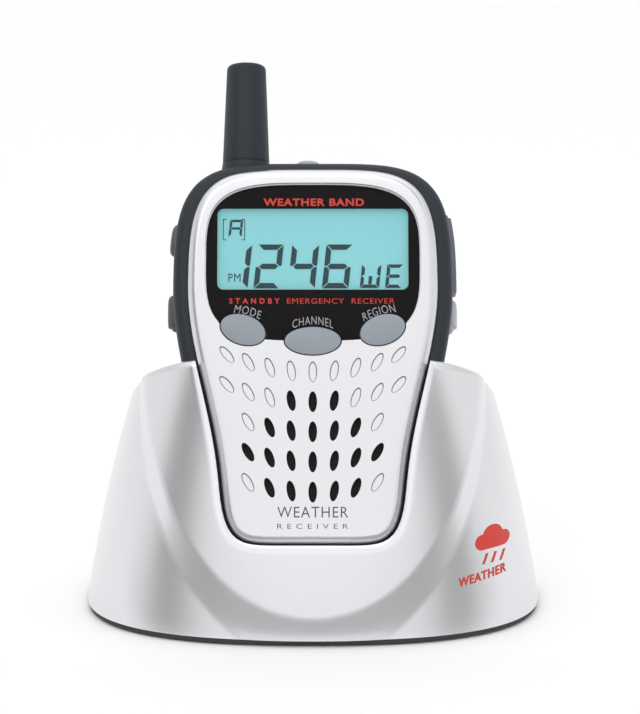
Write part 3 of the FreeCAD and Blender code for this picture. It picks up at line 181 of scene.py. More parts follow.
def grained(made, scale, strength, distance=0.00004):
    """Adds a fine moulded grain: noise on object coordinates drives a bump."""
    tree = made.node_tree
    place = tree.nodes.new("ShaderNodeTexCoord")
    noise = tree.nodes.new("ShaderNodeTexNoise")
    noise.inputs["Scale"].default_value = scale
    noise.inputs["Detail"].default_value = 3.0
    bump = tree.nodes.new("ShaderNodeBump")
    bump.inputs["Strength"].default_value = strength
    bump.inputs["Distance"].default_value = distance
    tree.links.new(place.outputs["Object"], noise.inputs["Vector"])
    tree.links.new(noise.outputs["Fac"], bump.inputs["Height"])
    tree.links.new(bump.outputs["Normal"], tree.nodes["Principled BSDF"].inputs["Normal"])
    return made


def silver_paint():
    """Satin silver paint with a fine metal flake."""
    if "finish_silver_paint" in bpy.data.materials:
        return bpy.data.materials["finish_silver_paint"]
    made = plain("silver_paint", colours().silver, roughness=0.27, metallic=0.95, coat=0.12)
    return grained(made, scale=5200.0, strength=0.10, distance=0.00002)


def cover_paint():
    """The cover's silver: a shade darker, with a coarser flake."""
    if "finish_cover_paint" in bpy.data.materials:
        return bpy.data.materials["finish_cover_paint"]
    shaded = tuple(0.93 * part for part in colours().silver)
    made = plain("cover_paint", shaded, roughness=0.27, metallic=0.95, coat=0.12)
    return grained(made, scale=3200.0, strength=0.3)


def slate_plastic():
    """The dark moulded body."""
    if "finish_slate_plastic" in bpy.data.materials:
        return bpy.data.materials["finish_slate_plastic"]
    made = plain("slate_plastic", colours().slate, roughness=0.46, specular=0.38)
    return grained(made, scale=3000.0, strength=0.25)


def antenna_rubber():
    """Dark rubber with a faint moulded ripple."""
    if "finish_antenna_rubber" in bpy.data.materials:
        return bpy.data.materials["finish_antenna_rubber"]
    made = plain("antenna_rubber", colours().slate, roughness=0.5, specular=0.38)
    return grained(made, scale=900.0, strength=0.35, distance=0.00008)


def black_print():
    """The black border printed behind the lens, and the rings round the front keys."""
    return plain("black_print", (0.006, 0.005, 0.005), roughness=0.3, specular=0.12)


def red_print():
    """The red of the words over the display and of the cradle's sign."""
    return plain("red_print", colours().print_red, roughness=0.4)


def lit(name, colour, strength):
    """A surface that also gives light, as a backlit display does."""
    made = plain(name, colour, roughness=0.35, specular=0.2)
    shader = made.node_tree.nodes["Principled BSDF"]
    shader.inputs["Emission Color"].default_value = (*colour, 1.0)
    shader.inputs["Emission Strength"].default_value = strength
    return made


# ---------------------------------------------------------------- mesh helpers

def place_in_seat(points):
    """Turns points in the handset's frame (mm) into world points (m): p' = R(-lean) p + seat."""
    turn = np.array(SEAT.to_3x3())
    move = np.array(SEAT.to_translation())
    return (points @ turn.T + move) * MM


def seat_coordinates(points):
    """The inverse: world points (mm) to the handset's frame (mm)."""
    turn = np.array(SEAT.to_3x3())
    move = np.array(SEAT.to_translation())
    return (points - move) @ turn


def new_object(name, points, faces, material, smooth=40.0):
    """A mesh object at the origin; edges sharper than the angle stay sharp."""
    mesh = bpy.data.meshes.new(name)
    mesh.from_pydata([tuple(point) for point in points], [], faces)
    mesh.validate()
    mesh.update()
    thing = bpy.data.objects.new(name, mesh)
    bpy.context.scene.collection.objects.link(thing)
    if material is not None:
        mesh.materials.append(material)
    shade(thing, smooth)
    return thing


def shade(thing, angle):
    """Smooth shading with sharp edges above an angle in degrees."""
    mesh = thing.data
    mesh.polygons.foreach_set("use_smooth", [True] * len(mesh.polygons))
    work = bmesh.new()
    work.from_mesh(mesh)
    limit = math.radians(angle)
    for edge in work.edges:
        edge.smooth = len(edge.link_faces) == 2 and edge.calc_face_angle(0.0) < limit
    work.to_mesh(mesh)
    work.free()
    mesh.update()


def face_outward(thing):
    """Turns every face of a closed mesh outward."""
    work = bmesh.new()
    work.from_mesh(thing.data)
    bmesh.ops.recalc_face_normals(work, faces=work.faces)
    work.to_mesh(thing.data)
    work.free()
    return thing


def ring_faces(rows, columns):
    """Quads of a grid of rows and columns whose columns run round."""
    r, c = np.meshgrid(np.arange(rows - 1), np.arange(columns), indexing="ij")
    here = r * columns + c
    right = r * columns + (c + 1) % columns
    return np.stack([here, right, right + columns, here + columns], axis=-1).reshape(-1, 4).tolist()


def hoop_faces(count, first=0):
    """Quads of a hoop with a four-cornered section: four rings of points, the last joined to the first."""
    faces = []
    for ring in range(4):
        after = (ring + 1) % 4
        for i in range(count):
            j = (i + 1) % count
            faces.append([first + ring * count + i, first + ring * count + j,
                          first + after * count + j, first + after * count + i])
    return faces


def closed_tube(name, grid, material, smooth=40.0, flip=False):
    """Skins a grid of rings (rows, columns, 3) and closes both ends with one face each."""
    rows, columns = grid.shape[:2]
    faces = ring_faces(rows, columns)
    faces.append(list(range(columns))[::-1])
    faces.append([(rows - 1) * columns + c for c in range(columns)])
    if flip:
        faces = [face[::-1] for face in faces]
    return new_object(name, grid.reshape(-1, 3), faces, material, smooth)


def wear(thing, body, slot_name, *nodes):
    """Puts a finished piece on its body and hides the CAD nodes it stands for."""
    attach(thing, body)
    if nodes:
        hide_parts(*nodes)
    return thing


def carve(thing, cutters):
    """Cuts solids out of a mesh, exactly, and removes them."""
    for cutter in cutters:
        change = thing.modifiers.new("carve", "BOOLEAN")
        change.operation = "DIFFERENCE"
        change.solver = "EXACT"
        change.object = cutter
        bpy.context.view_layer.update()
        shape = bpy.data.meshes.new_from_object(thing.evaluated_get(bpy.context.evaluated_depsgraph_get()))
        thing.modifiers.clear()
        old = thing.data
        thing.data = shape
        bpy.data.meshes.remove(old)
        bpy.data.objects.remove(cutter)
    return thing


def polished_copy(node, material, body, slot_name, smooth=35.0, rounding=0.0):
    """A merged copy of a CAD node, smoothly shaded, that stands for the node."""
    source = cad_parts[node]
    mesh = source.data.copy()
    mesh.materials.clear()
    thing = bpy.data.objects.new(node + "_look", mesh)
    bpy.context.scene.collection.objects.link(thing)
    work = bmesh.new()
    work.from_mesh(mesh)
    bmesh.ops.remove_doubles(work, verts=work.verts, dist=2e-6)
    bmesh.ops.dissolve_limit(work, angle_limit=math.radians(0.5), verts=work.verts, edges=work.edges)
    work.to_mesh(mesh)
    work.free()
    if mesh.has_custom_normals:
        with bpy.context.temp_override(object=thing, active_object=thing, selected_objects=[thing]):
            bpy.ops.mesh.customdata_custom_splitnormals_clear()
    mesh.materials.append(material)
    shade(thing, smooth)
    if rounding:
        bevel = thing.modifiers.new("rounding", "BEVEL")
        bevel.width = rounding * MM
        bevel.segments = 2
        bevel.limit_method = "ANGLE"
        bevel.angle_limit = math.radians(50)
        bevel.harden_normals = True
    return wear(thing, body, slot_name, node)


# ---------------------------------------------------------------- outlines

def reach(c, s, power):
    """Distance from the middle to a unit superellipse |x|^p + |y|^p = 1 along a direction."""
    return (np.abs(c) ** power + np.abs(s) ** power) ** (-1.0 / power)


def taper(z, part, margin):
    """Half width factor: foot below, full width above, eased by 3t^2 - 2t^3 between."""
    t = np.clip((z - TAPER_START) / TAPER_RISE, 0.0, 1.0)
    ease = t * t * (3 - 2 * t)
    return (part["foot"] + margin + (part["half"] - part["foot"]) * ease) / (part["half"] + margin)


def handset_outline(part, margin=0.0, count=160):
    """The handset's outline in x and z: two superellipse halves joined at the widest height, tapered."""
    angle = TAU * (np.arange(count) + 0.5) / count
    c, s = np.cos(angle), np.sin(angle)
    power = np.where(s > 0, TOP_POWER, FOOT_POWER)
    r = reach(c, s, power)
    up, down = part["high"] - WIDEST + margin, WIDEST - part["low"] + margin
    z = WIDEST + np.where(s > 0, up, down) * r * s
    x = (part["half"] + margin) * r * c * taper(z, part, margin)
    return x, z


def outline_distance(x, z, part, margin):
    """About how far a point lies outside the handset's outline: (r - 1) over the slope of r."""
    def level(px, pz):
        power = np.where(pz > WIDEST, TOP_POWER, FOOT_POWER)
        up, down = part["high"] - WIDEST + margin, WIDEST - part["low"] + margin
        a = np.abs(px) / ((part["half"] + margin) * taper(pz, part, margin))
        b = np.abs(pz - WIDEST) / np.where(pz > WIDEST, up, down)
        return (a ** power + b ** power + 1e-12) ** (1.0 / power)
    here = level(x, z)
    slope_x = (level(x + 0.01, z) - level(x - 0.01, z)) / 0.02
    slope_z = (level(x, z + 0.01) - level(x, z - 0.01)) / 0.02
    return (here - 1.0) / np.maximum(np.hypot(slope_x, slope_z), 1e-3)


def outline_prism(part, margin, start, end):
    """The outline carried straight from one depth to another, as a solid to cut with."""
    x, z = handset_outline(part, margin)
    rings = [np.stack([x, np.full_like(x, y), z], axis=-1) for y in (start, end)]
    return closed_tube("cutter", place_in_seat(np.array(rings)), None, flip=True)


def oval(x, z, half_length, half_height, turn, count=40):
    """A turned ellipse in x and z."""
    angle = TAU * np.arange(count) / count
    a, b = half_length * np.cos(angle), half_height * np.sin(angle)
    t = math.radians(turn)
    return x + a * math.cos(t) - b * math.sin(t), z + a * math.sin(t) + b * math.cos(t)


def block_cutter(x0, x1, y0, y1, z0, z1, seated=True):
    """A plain box in the handset's frame, or in the world's."""
    x = np.array([x0, x1, x1, x0])
    z = np.array([z0, z0, z1, z1])
    grid = np.stack([np.stack([x, np.full(4, y), z], axis=-1) for y in (float(y0), float(y1))])
    return closed_tube("cutter", place_in_seat(grid) if seated else grid * MM, None)


# ---------------------------------------------------------------- print and display helpers

def plates(name, shapes, front, back, material):
    """Thin plates in the handset's frame: each shape is a closed outline in x and z."""
    points, faces = [], []
    for shape in shapes:
        shape = np.asarray(shape, dtype=float)
        count, first = len(shape), len(points)
        for depth in (front, back):
            points.extend(np.stack([shape[:, 0], np.full(count, depth), shape[:, 1]], axis=-1))
        faces.append([first + i for i in range(count)])
        faces.append([first + count + i for i in range(count)][::-1])
        for i in range(count):
            j = (i + 1) % count
            faces.append([first + j, first + i, first + count + i, first + count + j])
    return face_outward(new_object(name, place_in_seat(np.array(points)), faces, material, 30.0))


SEGMENTS = {"1": "bc", "2": "abged", "4": "fgbc", "6": "afgedc", "E": "afged", "A": "abcefg", "W": "fbcedh"}


def segments(character, x, z, width, height, stroke, slant=0.105):
    """A character of bars with mitred ends, as a closed outline for each bar, slanted to the right."""
    w, h, m, s, g = width, height, height / 2, stroke, stroke * 0.13
    left_high = [(0, h - g), (s, h - s - g), (s, m + s / 2 + g), (s / 2, m + g), (0, m + g)]
    left_low = [(px, h - pz) for px, pz in left_high]
    bars = {"a": [(g, h), (w - g, h), (w - s - g, h - s), (s + g, h - s)],
            "d": [(g, 0), (w - g, 0), (w - s - g, s), (s + g, s)],
            "g": [(s / 2 + g, m), (s + g, m + s / 2), (w - s - g, m + s / 2), (w - s / 2 - g, m),
                  (w - s - g, m - s / 2), (s + g, m - s / 2)],
            "f": left_high, "e": left_low,
            "b": [(w - px, pz) for px, pz in left_high], "c": [(w - px, pz) for px, pz in left_low],
            "h": [(w / 2 - s / 2, s + g), (w / 2 + s / 2, s + g), (w / 2 + s / 2, m), (w / 2 - s / 2, m)]}
    return [[(x + px + slant * pz, z + pz) for px, pz in bars[bar]] for bar in SEGMENTS[character]]


def bracket(x, low, high, way):
    """A thin square bracket open to one side."""
    thin, arm = 0.16, 0.75
    return [[(x, low), (x + way * arm, low), (x + way * arm, low + thin), (x + way * thin, low + thin),
             (x + way * thin, high - thin), (x + way * arm, high - thin), (x + way * arm, high), (x, high)]]


def word_mesh(text, heavy):
    """A word as flat mesh points and faces, middle at the origin, in the font's own units."""
    curve = bpy.data.curves.new("word", "FONT")
    curve.body = text
    curve.align_x = "CENTER"
    curve.align_y = "CENTER"
    curve.offset = heavy
    curve.space_character = 1.12
    curve.resolution_u = 3
    holder = bpy.data.objects.new("word", curve)
    bpy.context.scene.collection.objects.link(holder)
    bpy.context.view_layer.update()
    mesh = bpy.data.meshes.new_from_object(holder.evaluated_get(bpy.context.evaluated_depsgraph_get()))
    points = np.empty(len(mesh.vertices) * 3)
    mesh.vertices.foreach_get("co", points)
    points = points.reshape(-1, 3)[:, :2]
    faces = [list(face.vertices) for face in mesh.polygons]
    bpy.data.objects.remove(holder)
    bpy.data.meshes.remove(mesh)
    points -= (points.min(axis=0) + points.max(axis=0)) / 2
    return points, faces


def laid_word(text, height, width, heavy=0.0):
    """A word stretched to a height and width in mm."""
    points, faces = word_mesh(text, heavy)
    span = points.max(axis=0) - points.min(axis=0)
    return points * np.array([width, height]) / span, faces


def printed(name, text, height, x, z, width, depth, material, heavy=0.0, turn=0.0, sag=0.0):
    """A printed word on the handset; a sag bends it to an arc whose ends lie lower by that much."""
    points, faces = laid_word(text, height, width, heavy)
    px, pz = points[:, 0], points[:, 1]
    pz = pz - sag * (2 * px / width) ** 2
    t = math.radians(turn)
    world = np.stack([x + px * math.cos(t) - pz * math.sin(t), np.full_like(px, depth),
                      z + px * math.sin(t) + pz * math.cos(t)], axis=-1)
    thing = new_object(name, place_in_seat(world), faces, material, 30.0)
    return wear(thing, "handset", "")


def cradle_half_width(z):
    """The cradle's half width: it leans in with height, and faster higher up."""
    return 52.0 - 0.15 * z - 0.0015 * z ** 2


def cradle_half_depth(z):
    """The cradle's half depth: it leans in evenly with height."""
    return 38.0 - 0.16 * z


def on_cradle(x, z, lift):
    """Puts flat points (x, z in mm, seen from the front) on the cradle's right flank, just proud of it."""
    side = cradle_half_width(z) + lift
    deep = cradle_half_depth(z) + lift
    y = -deep * np.maximum(1.0 - (np.abs(x) / side) ** CRADLE_POWER, 0.0) ** (1.0 / CRADLE_POWER)
    return np.stack([x, y, z], axis=-1) * MM


def strips(x, low, high, lift):
    """A flat shape laid on the cradle as narrow upright strips, so that it follows the flank's curve."""
    count = len(x)
    points = np.concatenate([on_cradle(x, low, lift), on_cradle(x, high, lift)])
    return points, [[i, i + 1, count + i + 1, count + i] for i in range(count - 1)]


def disc(x, z, radius, lift):
    """A round patch on the cradle."""
    angle = np.linspace(math.pi - 0.04, 0.04, 24)
    reached = x + radius * np.cos(angle)
    half = radius * np.sin(angle)
    return strips(reached, z - half, z + half, lift)


def cradle_sign(material):
    """A red cloud with three drops over a plain word."""
    base = np.linspace(37.6, 42.4, 16)
    parts = [disc(37.6, 20.3, 1.7, 0.040), disc(40.0, 21.4, 2.3, 0.043), disc(42.4, 20.3, 1.6, 0.046),
             strips(base, np.full(16, 18.7), np.full(16, 20.4), 0.049)]
    for x in (38.4, 40.4, 42.4):
        drop = np.array([(x, 17.8), (x + 0.55, 17.8), (x - 0.35, 15.6), (x - 0.9, 15.6)])
        parts.append((on_cradle(drop[:, 0], drop[:, 1], 0.05), [[0, 1, 2, 3]]))
    points, faces = laid_word("WEATHER", 2.0, 11.0, 0.03)
    parts.append((on_cradle(37.6 + points[:, 0], 13.2 + points[:, 1] + 0.13 * points[:, 0], 0.05), faces))
    all_points = np.concatenate([part[0] for part in parts])
    all_faces, first = [], 0
    for part_points, part_faces in parts:
        all_faces += [[first + i for i in face] for face in part_faces]
        first += len(part_points)
    thing = new_object("cradle_sign", all_points, all_faces, material, 30.0)
    return wear(thing, "cradle", "red_print")


# ---------------------------------------------------------------- cradle

def cradle_rise(x, z):
    """The apron's swell: full inside the inner crease, none outside the outer one, straight between."""
    def level(crease):
        return np.sqrt((x / crease["half"]) ** 2 + ((z - crease["middle"]) / crease["tall"]) ** 2)
    inner = level(INNER_CREASE) - 1.0
    outer = 1.0 - level(OUTER_CREASE)
    share = np.clip(outer / np.maximum(outer + np.maximum(inner, 0.0), 1e-6), 0.0, 1.0)
    share = np.where(inner <= 0.0, 1.0, share)
    return np.where(outer <= 0.0, 0.0, share)


def cradle_points(angle, height, grow):
    """The cradle's outside: a superellipse that leans in with height, swelling over the apron."""
    c, s = np.cos(angle), np.sin(angle)
    r = reach(c, s, CRADLE_POWER)
    side = cradle_half_width(height)
    deep = cradle_half_depth(height)
    rise = np.zeros_like(height)
    for _ in range(3):
        x = (side + grow + rise) * r * c
        rise = np.where(s < 0, APRON_RISE * cradle_rise(x, height), 0.0)
    return (side + grow + rise) * r * c, (deep + grow + rise) * r * s, height


def cradle_tub(grow, low, drop, soften):
    """The tub between its floor and its sloping top as a grid of rings, its rims softened."""
    columns, rows = 520, 110
    angle = TAU * np.arange(columns) / columns
    share = np.linspace(0.0, 1.0, rows)
    share = 1.0 - (1.0 - share) ** 1.25
    angle, share = np.broadcast_arrays(angle[None, :], share[:, None])
    top = np.full(angle.shape, 55.0)
    for _ in range(25):
        _, y, _ = cradle_points(angle, top, grow)
        top = 0.5 * top + 0.5 * (EAR_TOP - drop - EAR_SLOPE * (y + EAR_AHEAD))
    height = low + (top - low) * share
    if soften:
        x, y, z = cradle_points(angle, height, grow)
        local = seat_coordinates(np.stack([x, y, z], axis=-1))
        away = outline_distance(local[..., 0], local[..., 2], COVER, POCKET_GAP)
        width = sizes().edge_round
        near = np.clip(1.0 - away / width, 0.0, 1.0) * (y < 0)
        below_top = np.clip(1.0 - (top - height) / TOP_ROUND, 0.0, 1.0)
        inward = TOP_ROUND - np.sqrt(np.maximum(TOP_ROUND ** 2 - (TOP_ROUND * below_top) ** 2, 0.0))
        grow = grow - 0.45 * width * near ** 2 - inward
    return np.stack(cradle_points(angle, height, grow), axis=-1) * MM


def pocket_cutters(wall):
    """The handset's seat, as solids to cut away; a wall grows them for the inner skin."""
    gap = POCKET_GAP + wall
    wide = BODY["half"] + gap
    notch = NOTCH_HALF + wall
    return [
        outline_prism(BODY, gap, FRAME_FRONT - gap, THICKNESS + gap),
        block_cutter(-wide, wide, FRAME_FRONT - gap, THICKNESS + gap, POCKET_OPEN, FAR),
        outline_prism(COVER, gap, -60.0, FRAME_FRONT),
        block_cutter(-notch, notch, 29.0, 36.0, NOTCH_FLOOR - wall, FAR),
        block_cutter(-notch, notch, 4.0 - wall, 90.0, NOTCH_LEVEL - wall, FAR, seated=False),
    ]


class RADIO_OT_cradle(bpy.types.Operator):
    """Builds the silver cradle with its raised apron and the handset's seat"""
    bl_idname = "radio.cradle"
    bl_label = "Cradle"

    def execute(self, context):
        skin = cradle_tub(-SKIN_INSET, SHELL_BOTTOM, 0.0, True)
        shell = closed_tube("cradle_shell_look", skin, silver_paint())
        hollow = closed_tube("hollow", cradle_tub(-SHELL_WALL, SHELL_BOTTOM - 1.0, SHELL_WALL, False), None)
        carve(hollow, pocket_cutters(POCKET_WALL))
        angle = TAU * np.arange(48) / 48
        c, s = np.cos(angle), np.sin(angle)
        # Known fault: these cutters leave the skin whole, so the inlet's and the pins' holes stay closed.
        inlet_x, inlet_z = INLET_RADIUS * c, INLET_HEIGHT + INLET_RADIUS * s
        inlet = np.stack([np.stack([inlet_x, np.full(48, y), inlet_z], axis=-1) for y in (24.0, 60.0)]) * MM
        holes = [closed_tube("cutter", inlet, None)]
        for side in (-PIN_SPREAD, PIN_SPREAD):
            pin = np.stack([np.stack([side + c, PIN_DEPTH + s, np.full(48, z)], axis=-1)
                            for z in (-5.0, 0.0)])
            holes.append(closed_tube("cutter", place_in_seat(pin), None, flip=True))
        carve(shell, pocket_cutters(0.0) + [hollow] + holes)
        shade(shell, 28.0)
        wear(shell, "cradle", "silver_paint", "cradle_shell")
        return {"FINISHED"}


class RADIO_OT_cover(bpy.types.Operator):
    """Builds the silver face of the handset"""
    bl_idname = "radio.cover"
    bl_label = "Front cover"

    def execute(self, context):
        polished_copy("front_cover", cover_paint(), "handset", "silver_paint", 25.0)
        return {"FINISHED"}


def dimple_places():
    """Middle, and tilt in degrees, of every closed slot: columns fan out and rise with distance squared."""
    open_columns = ((), (0, 1), (0, 1, 2), (0, 1, 2, 3), (0, 1, 2))
    last_column = (4, 4, 3, 3, 3)
    return [(column * SLOT_PITCH, SLOT_TOP - row * SLOT_DROP + SLOT_RISE * column ** 2, -SLOT_FAN * column)
            for row in range(5) for column in range(-last_column[row], last_column[row] + 1)
            if abs(column) not in open_columns[row]]


class RADIO_OT_grille(bpy.types.Operator):
    """Darkens the rims of the closed slots with painted shade, standing in for the shade inside each recess
    """
    bl_idname = "radio.grille"
    bl_label = "Grille"

    def execute(self, context):
        count = 32
        points, faces = [], []
        for x, z, tilt in dimple_places():
            faces += hoop_faces(count, len(points) * 4 * count)
            rims = []
            for shrink, depth in ((0.0, 0.0), (0.2, 0.42), (0.2, 0.46), (0.0, 0.46)):
                px, pz = oval(x, z, SLOT_HALF_WIDTH - shrink, SLOT_HALF_HEIGHT - shrink, tilt, count)
                rims.append(np.stack([px, np.full(count, depth), pz], axis=-1))
            points.append(np.concatenate(rims))
        # Painted shade: this grey is darker than the silver and lines each dimple's wall, where the recess
        # would be in shade.
        painted_shade_grey = plain("slot_painted_shade", (0.30, 0.30, 0.32), roughness=0.4, metallic=0.7)
        rings = new_object("slot_rims", place_in_seat(np.concatenate(points)), faces, painted_shade_grey, 30.0)
        wear(face_outward(rings), "handset", "silver_paint")
        return {"FINISHED"}


class RADIO_OT_body(bpy.types.Operator):
    """Finishes the dark body, its collar and the back"""
    bl_idname = "radio.body"
    bl_label = "Body"

    def execute(self, context):
        slate = slate_plastic()
        for node in ("front_frame", "rear_housing", "antenna_collar"):
            polished_copy(node, slate, "handset", "slate_plastic")
        polished_copy("battery_cover", slate, "battery_cover", "slate_plastic", rounding=0.25)
        polished_copy("belt_clip", slate, "belt_clip", "slate_plastic", rounding=0.4)
        return {"FINISHED"}


class RADIO_OT_antenna(bpy.types.Operator):
    """Builds the rubber antenna sleeve"""
    bl_idname = "radio.antenna"
    bl_label = "Antenna"

    def execute(self, context):
        foot, top, tip_round = ANTENNA["foot"], ANTENNA["top"], ANTENNA["tip_round"]
        base_radius, tip_radius = ANTENNA["base_radius"], ANTENNA["tip_radius"]
        bend = np.linspace(0.0, math.pi / 2, 9)
        straight = np.linspace(foot + 0.35, top - tip_round, 60)
        share = (straight - foot) / (top - tip_round - foot)
        radius = base_radius + (tip_radius - base_radius) * share
        height = np.concatenate([[foot, foot + 0.05], straight,
                                 top - tip_round + tip_round * np.sin(bend[1:])])
        radius = np.concatenate([[base_radius - 0.35, base_radius - 0.1], radius,
                                 tip_radius - tip_round + tip_round * np.cos(bend[1:])])
        angle = TAU * np.arange(96) / 96
        x = ANTENNA["x"] + radius[:, None] * np.cos(angle)
        y = ANTENNA["y"] + radius[:, None] * np.sin(angle)
        z = np.broadcast_to(height[:, None], x.shape)
        sleeve = closed_tube("antenna_sleeve_look", place_in_seat(np.stack([x, y, z], axis=-1)),
                             antenna_rubber(), 45.0)
        wear(sleeve, "handset", "slate_rubber", "antenna_sleeve")
        return {"FINISHED"}


class RADIO_OT_display(bpy.types.Operator):
    """Lays out the display, its digits and its print"""
    bl_idname = "radio.display"
    bl_label = "Display"

    def execute(self, context):
        lens = plain("clear_lens", (0.0, 0.0, 0.0), roughness=0.03, specular=0.04, alpha=0.04)
        polished_copy("display_lens", lens, "handset", "clear_lens")
        polished_copy("lens_mask", black_print(), "handset", "black_print")
        polished_copy("lcd_panel", lit("lcd_teal", colours().display, 0.3), "handset", "lcd_teal")
        ink = plain("lcd_ink", (0.012, 0.05, 0.06), roughness=0.4)
        shapes = []
        for character, x, z, width, height, stroke in (
                ("1", -20.2, 57.4, 5.7, 9.9, 1.2), ("2", -13.2, 57.4, 5.7, 9.9, 1.2),
                ("4", -5.6, 57.4, 6.0, 9.9, 1.2), ("6", 2.0, 57.4, 5.9, 9.9, 1.2),
                ("W", 10.4, 57.5, 4.3, 5.3, 0.75), ("E", 16.0, 57.5, 3.6, 5.3, 0.75),
                ("A", -18.8, 69.0, 2.9, 3.9, 0.52)):
            shapes += segments(character, x, z, width, height, stroke)
        shapes += bracket(-20.0, 68.3, 73.1, 1) + bracket(-15.1, 68.3, 73.1, -1)
        plates("lcd_segments", shapes, 2.40, 2.47, ink)
        wear(bpy.data.objects["lcd_segments"], "handset", "lcd_ink")
        red = red_print()
        grey = plain("grey_print", (0.36, 0.37, 0.40), roughness=0.5)
        printed("title_print", "WEATHER BAND", 1.75, 0.2, 76.6, 22.4, 1.0, red, heavy=0.035)
        printed("standby_print", "S T A N D B Y", 1.3, -12.9, 54.3, 11.2, 1.0, red, heavy=0.03)
        printed("receiver_print", "EMERGENCY  RECEIVER", 1.25, 6.2, 54.3, 23.8, 1.0, red)
        printed("pm_print", "PM", 1.9, -17.4, 59.8, 2.7, 2.43, ink)
        legend = sizes().legend_size
        printed("mode_print", "MODE", legend, -14.3, 52.1, 6.0, 1.0, grey, turn=-14.0, sag=0.35)
        printed("channel_print", "CHANNEL", legend, 0.0, 49.95, 9.0, 1.0, grey, sag=0.95)
        printed("region_print", "REGION", legend, 14.5, 52.1, 7.4, 1.0, grey, turn=16.0, sag=0.5)
        return {"FINISHED"}


def key_surround(x, z, length, height, turn):
    """A flat black ring round a key: points on two ovals, the outer 0.4 mm beyond the inner."""
    inner = np.stack(oval(x, z, length + 0.26, height + 0.26, turn, 64), axis=-1)
    outer = np.stack(oval(x, z, length + 0.66, height + 0.66, turn, 64), axis=-1)
    rings = [(inner, 1.44), (outer, 1.44), (outer, 1.48), (inner, 1.48)]
    points = np.concatenate([np.stack([ring[:, 0], np.full(64, depth), ring[:, 1]], axis=-1)
                             for ring, depth in rings])
    return points, hoop_faces(64)


def flank_half_width(z):
    """Half width of the body at a height: a superellipse above the widest height, a tapered one below."""
    rise = np.clip((z - WIDEST) / (BODY["high"] - WIDEST), 0.0, 1.0)
    fall = np.clip((WIDEST - z) / WIDEST, 0.0, 1.0)
    above = BODY["half"] * (1.0 - rise ** TOP_POWER) ** (1.0 / TOP_POWER)
    below = BODY["half"] * (1.0 - fall ** FOOT_POWER) ** (1.0 / FOOT_POWER) * taper(z, BODY, 0.0)
    return np.where(z > WIDEST, above, below)


def flank_key(name, side, low, high, proud, material):
    """A pill on the body's flank: a stadium drawn in over a quarter-round rim to a slightly crowned top."""
    rim = 1.15
    turn = TAU * np.arange(96) / 96
    end = (high - low) / 2 - SIDE_HALF
    bend = np.linspace(0.0, math.pi / 2, 9)
    inset = np.concatenate([[0.0, 0.0], rim * (1 - np.cos(bend)),
                            np.linspace(rim + 0.2, SIDE_HALF - 0.05, 5)])
    lift = np.concatenate([[-2.2, -0.6], proud - 1.3 + rim * np.sin(bend),
                           np.linspace(proud - 0.1, proud, 5)])
    radius = (SIDE_HALF - inset)[:, None]
    y = SIDE_MIDDLE + radius * np.cos(turn)
    z = (low + high) / 2 + radius * np.sin(turn) + end * np.tanh(6 * np.sin(turn))
    x = side * (flank_half_width(z) + lift[:, None])
    grid = place_in_seat(np.stack([x, y, z], axis=-1))
    return face_outward(closed_tube(name + "_look", grid, material, 50.0))


class RADIO_OT_keys(bpy.types.Operator):
    """Builds the domed front keys and finishes the keys on the flanks"""
    bl_idname = "radio.keys"
    bl_label = "Keys"

    def execute(self, context):
        grey = plain("key_grey", colours().key, roughness=0.42)
        black = black_print()
        flank = plain("flank_grey", (0.075, 0.088, 0.10), roughness=0.45)
        for name, (x, z, length, height, turn) in KEYS.items():
            bend = np.linspace(0.2, math.pi / 2, 5)
            rim = np.concatenate([np.linspace(3.55, -0.1, 6), -0.1 - 0.22 * np.sin(bend)])
            inset = np.concatenate([np.zeros(6), 0.3 * (1 - np.cos(bend))])
            across = np.linspace(0.96, 0.04, 14)
            rings = []
            for depth, step in zip(rim, inset):
                px, pz = oval(x, z, length - step, height - step, turn, 64)
                rings.append(np.stack([px, np.full_like(px, depth), pz], axis=-1))
            for share in across:
                px, pz = oval(x, z, (length - 0.3) * share, (height - 0.3) * share, turn, 64)
                depth = -0.32 - sizes().key_dome * (1 - share ** 2)
                rings.append(np.stack([px, np.full_like(px, depth), pz], axis=-1))
            key = closed_tube(name + "_look", place_in_seat(np.array(rings)), grey, 50.0)
            wear(key, name, "key_grey", name)
            points, faces = key_surround(x, z, length, height, turn)
            ring = new_object(name + "_surround", place_in_seat(points), faces, black, 30.0)
            wear(ring, "handset", "black_print")
        light = plain("key_light", (0.42, 0.45, 0.48), roughness=0.4)
        for name, side, low, high, proud, finish in (
                ("volume_up_key", -1, 66.3, 73.7, 1.4, flank),
                ("volume_down_key", -1, 49.0, 57.4, 1.4, flank),
                ("light_button", 1, 48.5, 56.3, 1.2, light)):
            wear(flank_key(name, side, low, high, proud, finish), name, "key_grey", name)
        polished_copy("top_button", light, "top_button", "key_light", rounding=0.5)
        polished_copy("jack_cover", plain("flap_rubber", (0.15, 0.17, 0.20), roughness=0.45), "jack_cover",
                      "flap_rubber", rounding=0.3)
        return {"FINISHED"}


class RADIO_OT_prints(bpy.types.Operator):
    """Prints the plain words on the cover and the red weather sign on the cradle"""
    bl_idname = "radio.prints"
    bl_label = "Prints"

    def execute(self, context):
        dark = plain("dark_print", (0.09, 0.09, 0.10), roughness=0.5)
        printed("cover_word", "WEATHER", 2.4, 0.0, 7.3, 15.5, -0.01, dark)
        printed("cover_small_word", "R E C E I V E R", 1.1, 0.0, 4.2, 15.5, -0.01, dark)
        cradle_sign(red_print())
        return {"FINISHED"}


def ramp(tree, stops):
    """A grey colour ramp with the given (position, brightness) stops."""
    node = tree.nodes.new("ShaderNodeValToRGB")
    band = node.color_ramp
    while len(band.elements) < len(stops):
        band.elements.new(0.5)
    for element, (position, grey) in zip(band.elements, stops):
        element.position = position
        element.color = (grey, grey, grey, 1.0)
    return node


def reckon(tree, operation, *sources):
    """A maths node fed by the given outputs."""
    node = tree.nodes.new("ShaderNodeMath")
    node.operation = operation
    for number, source in enumerate(sources):
        tree.links.new(source, node.inputs[number])
    return node


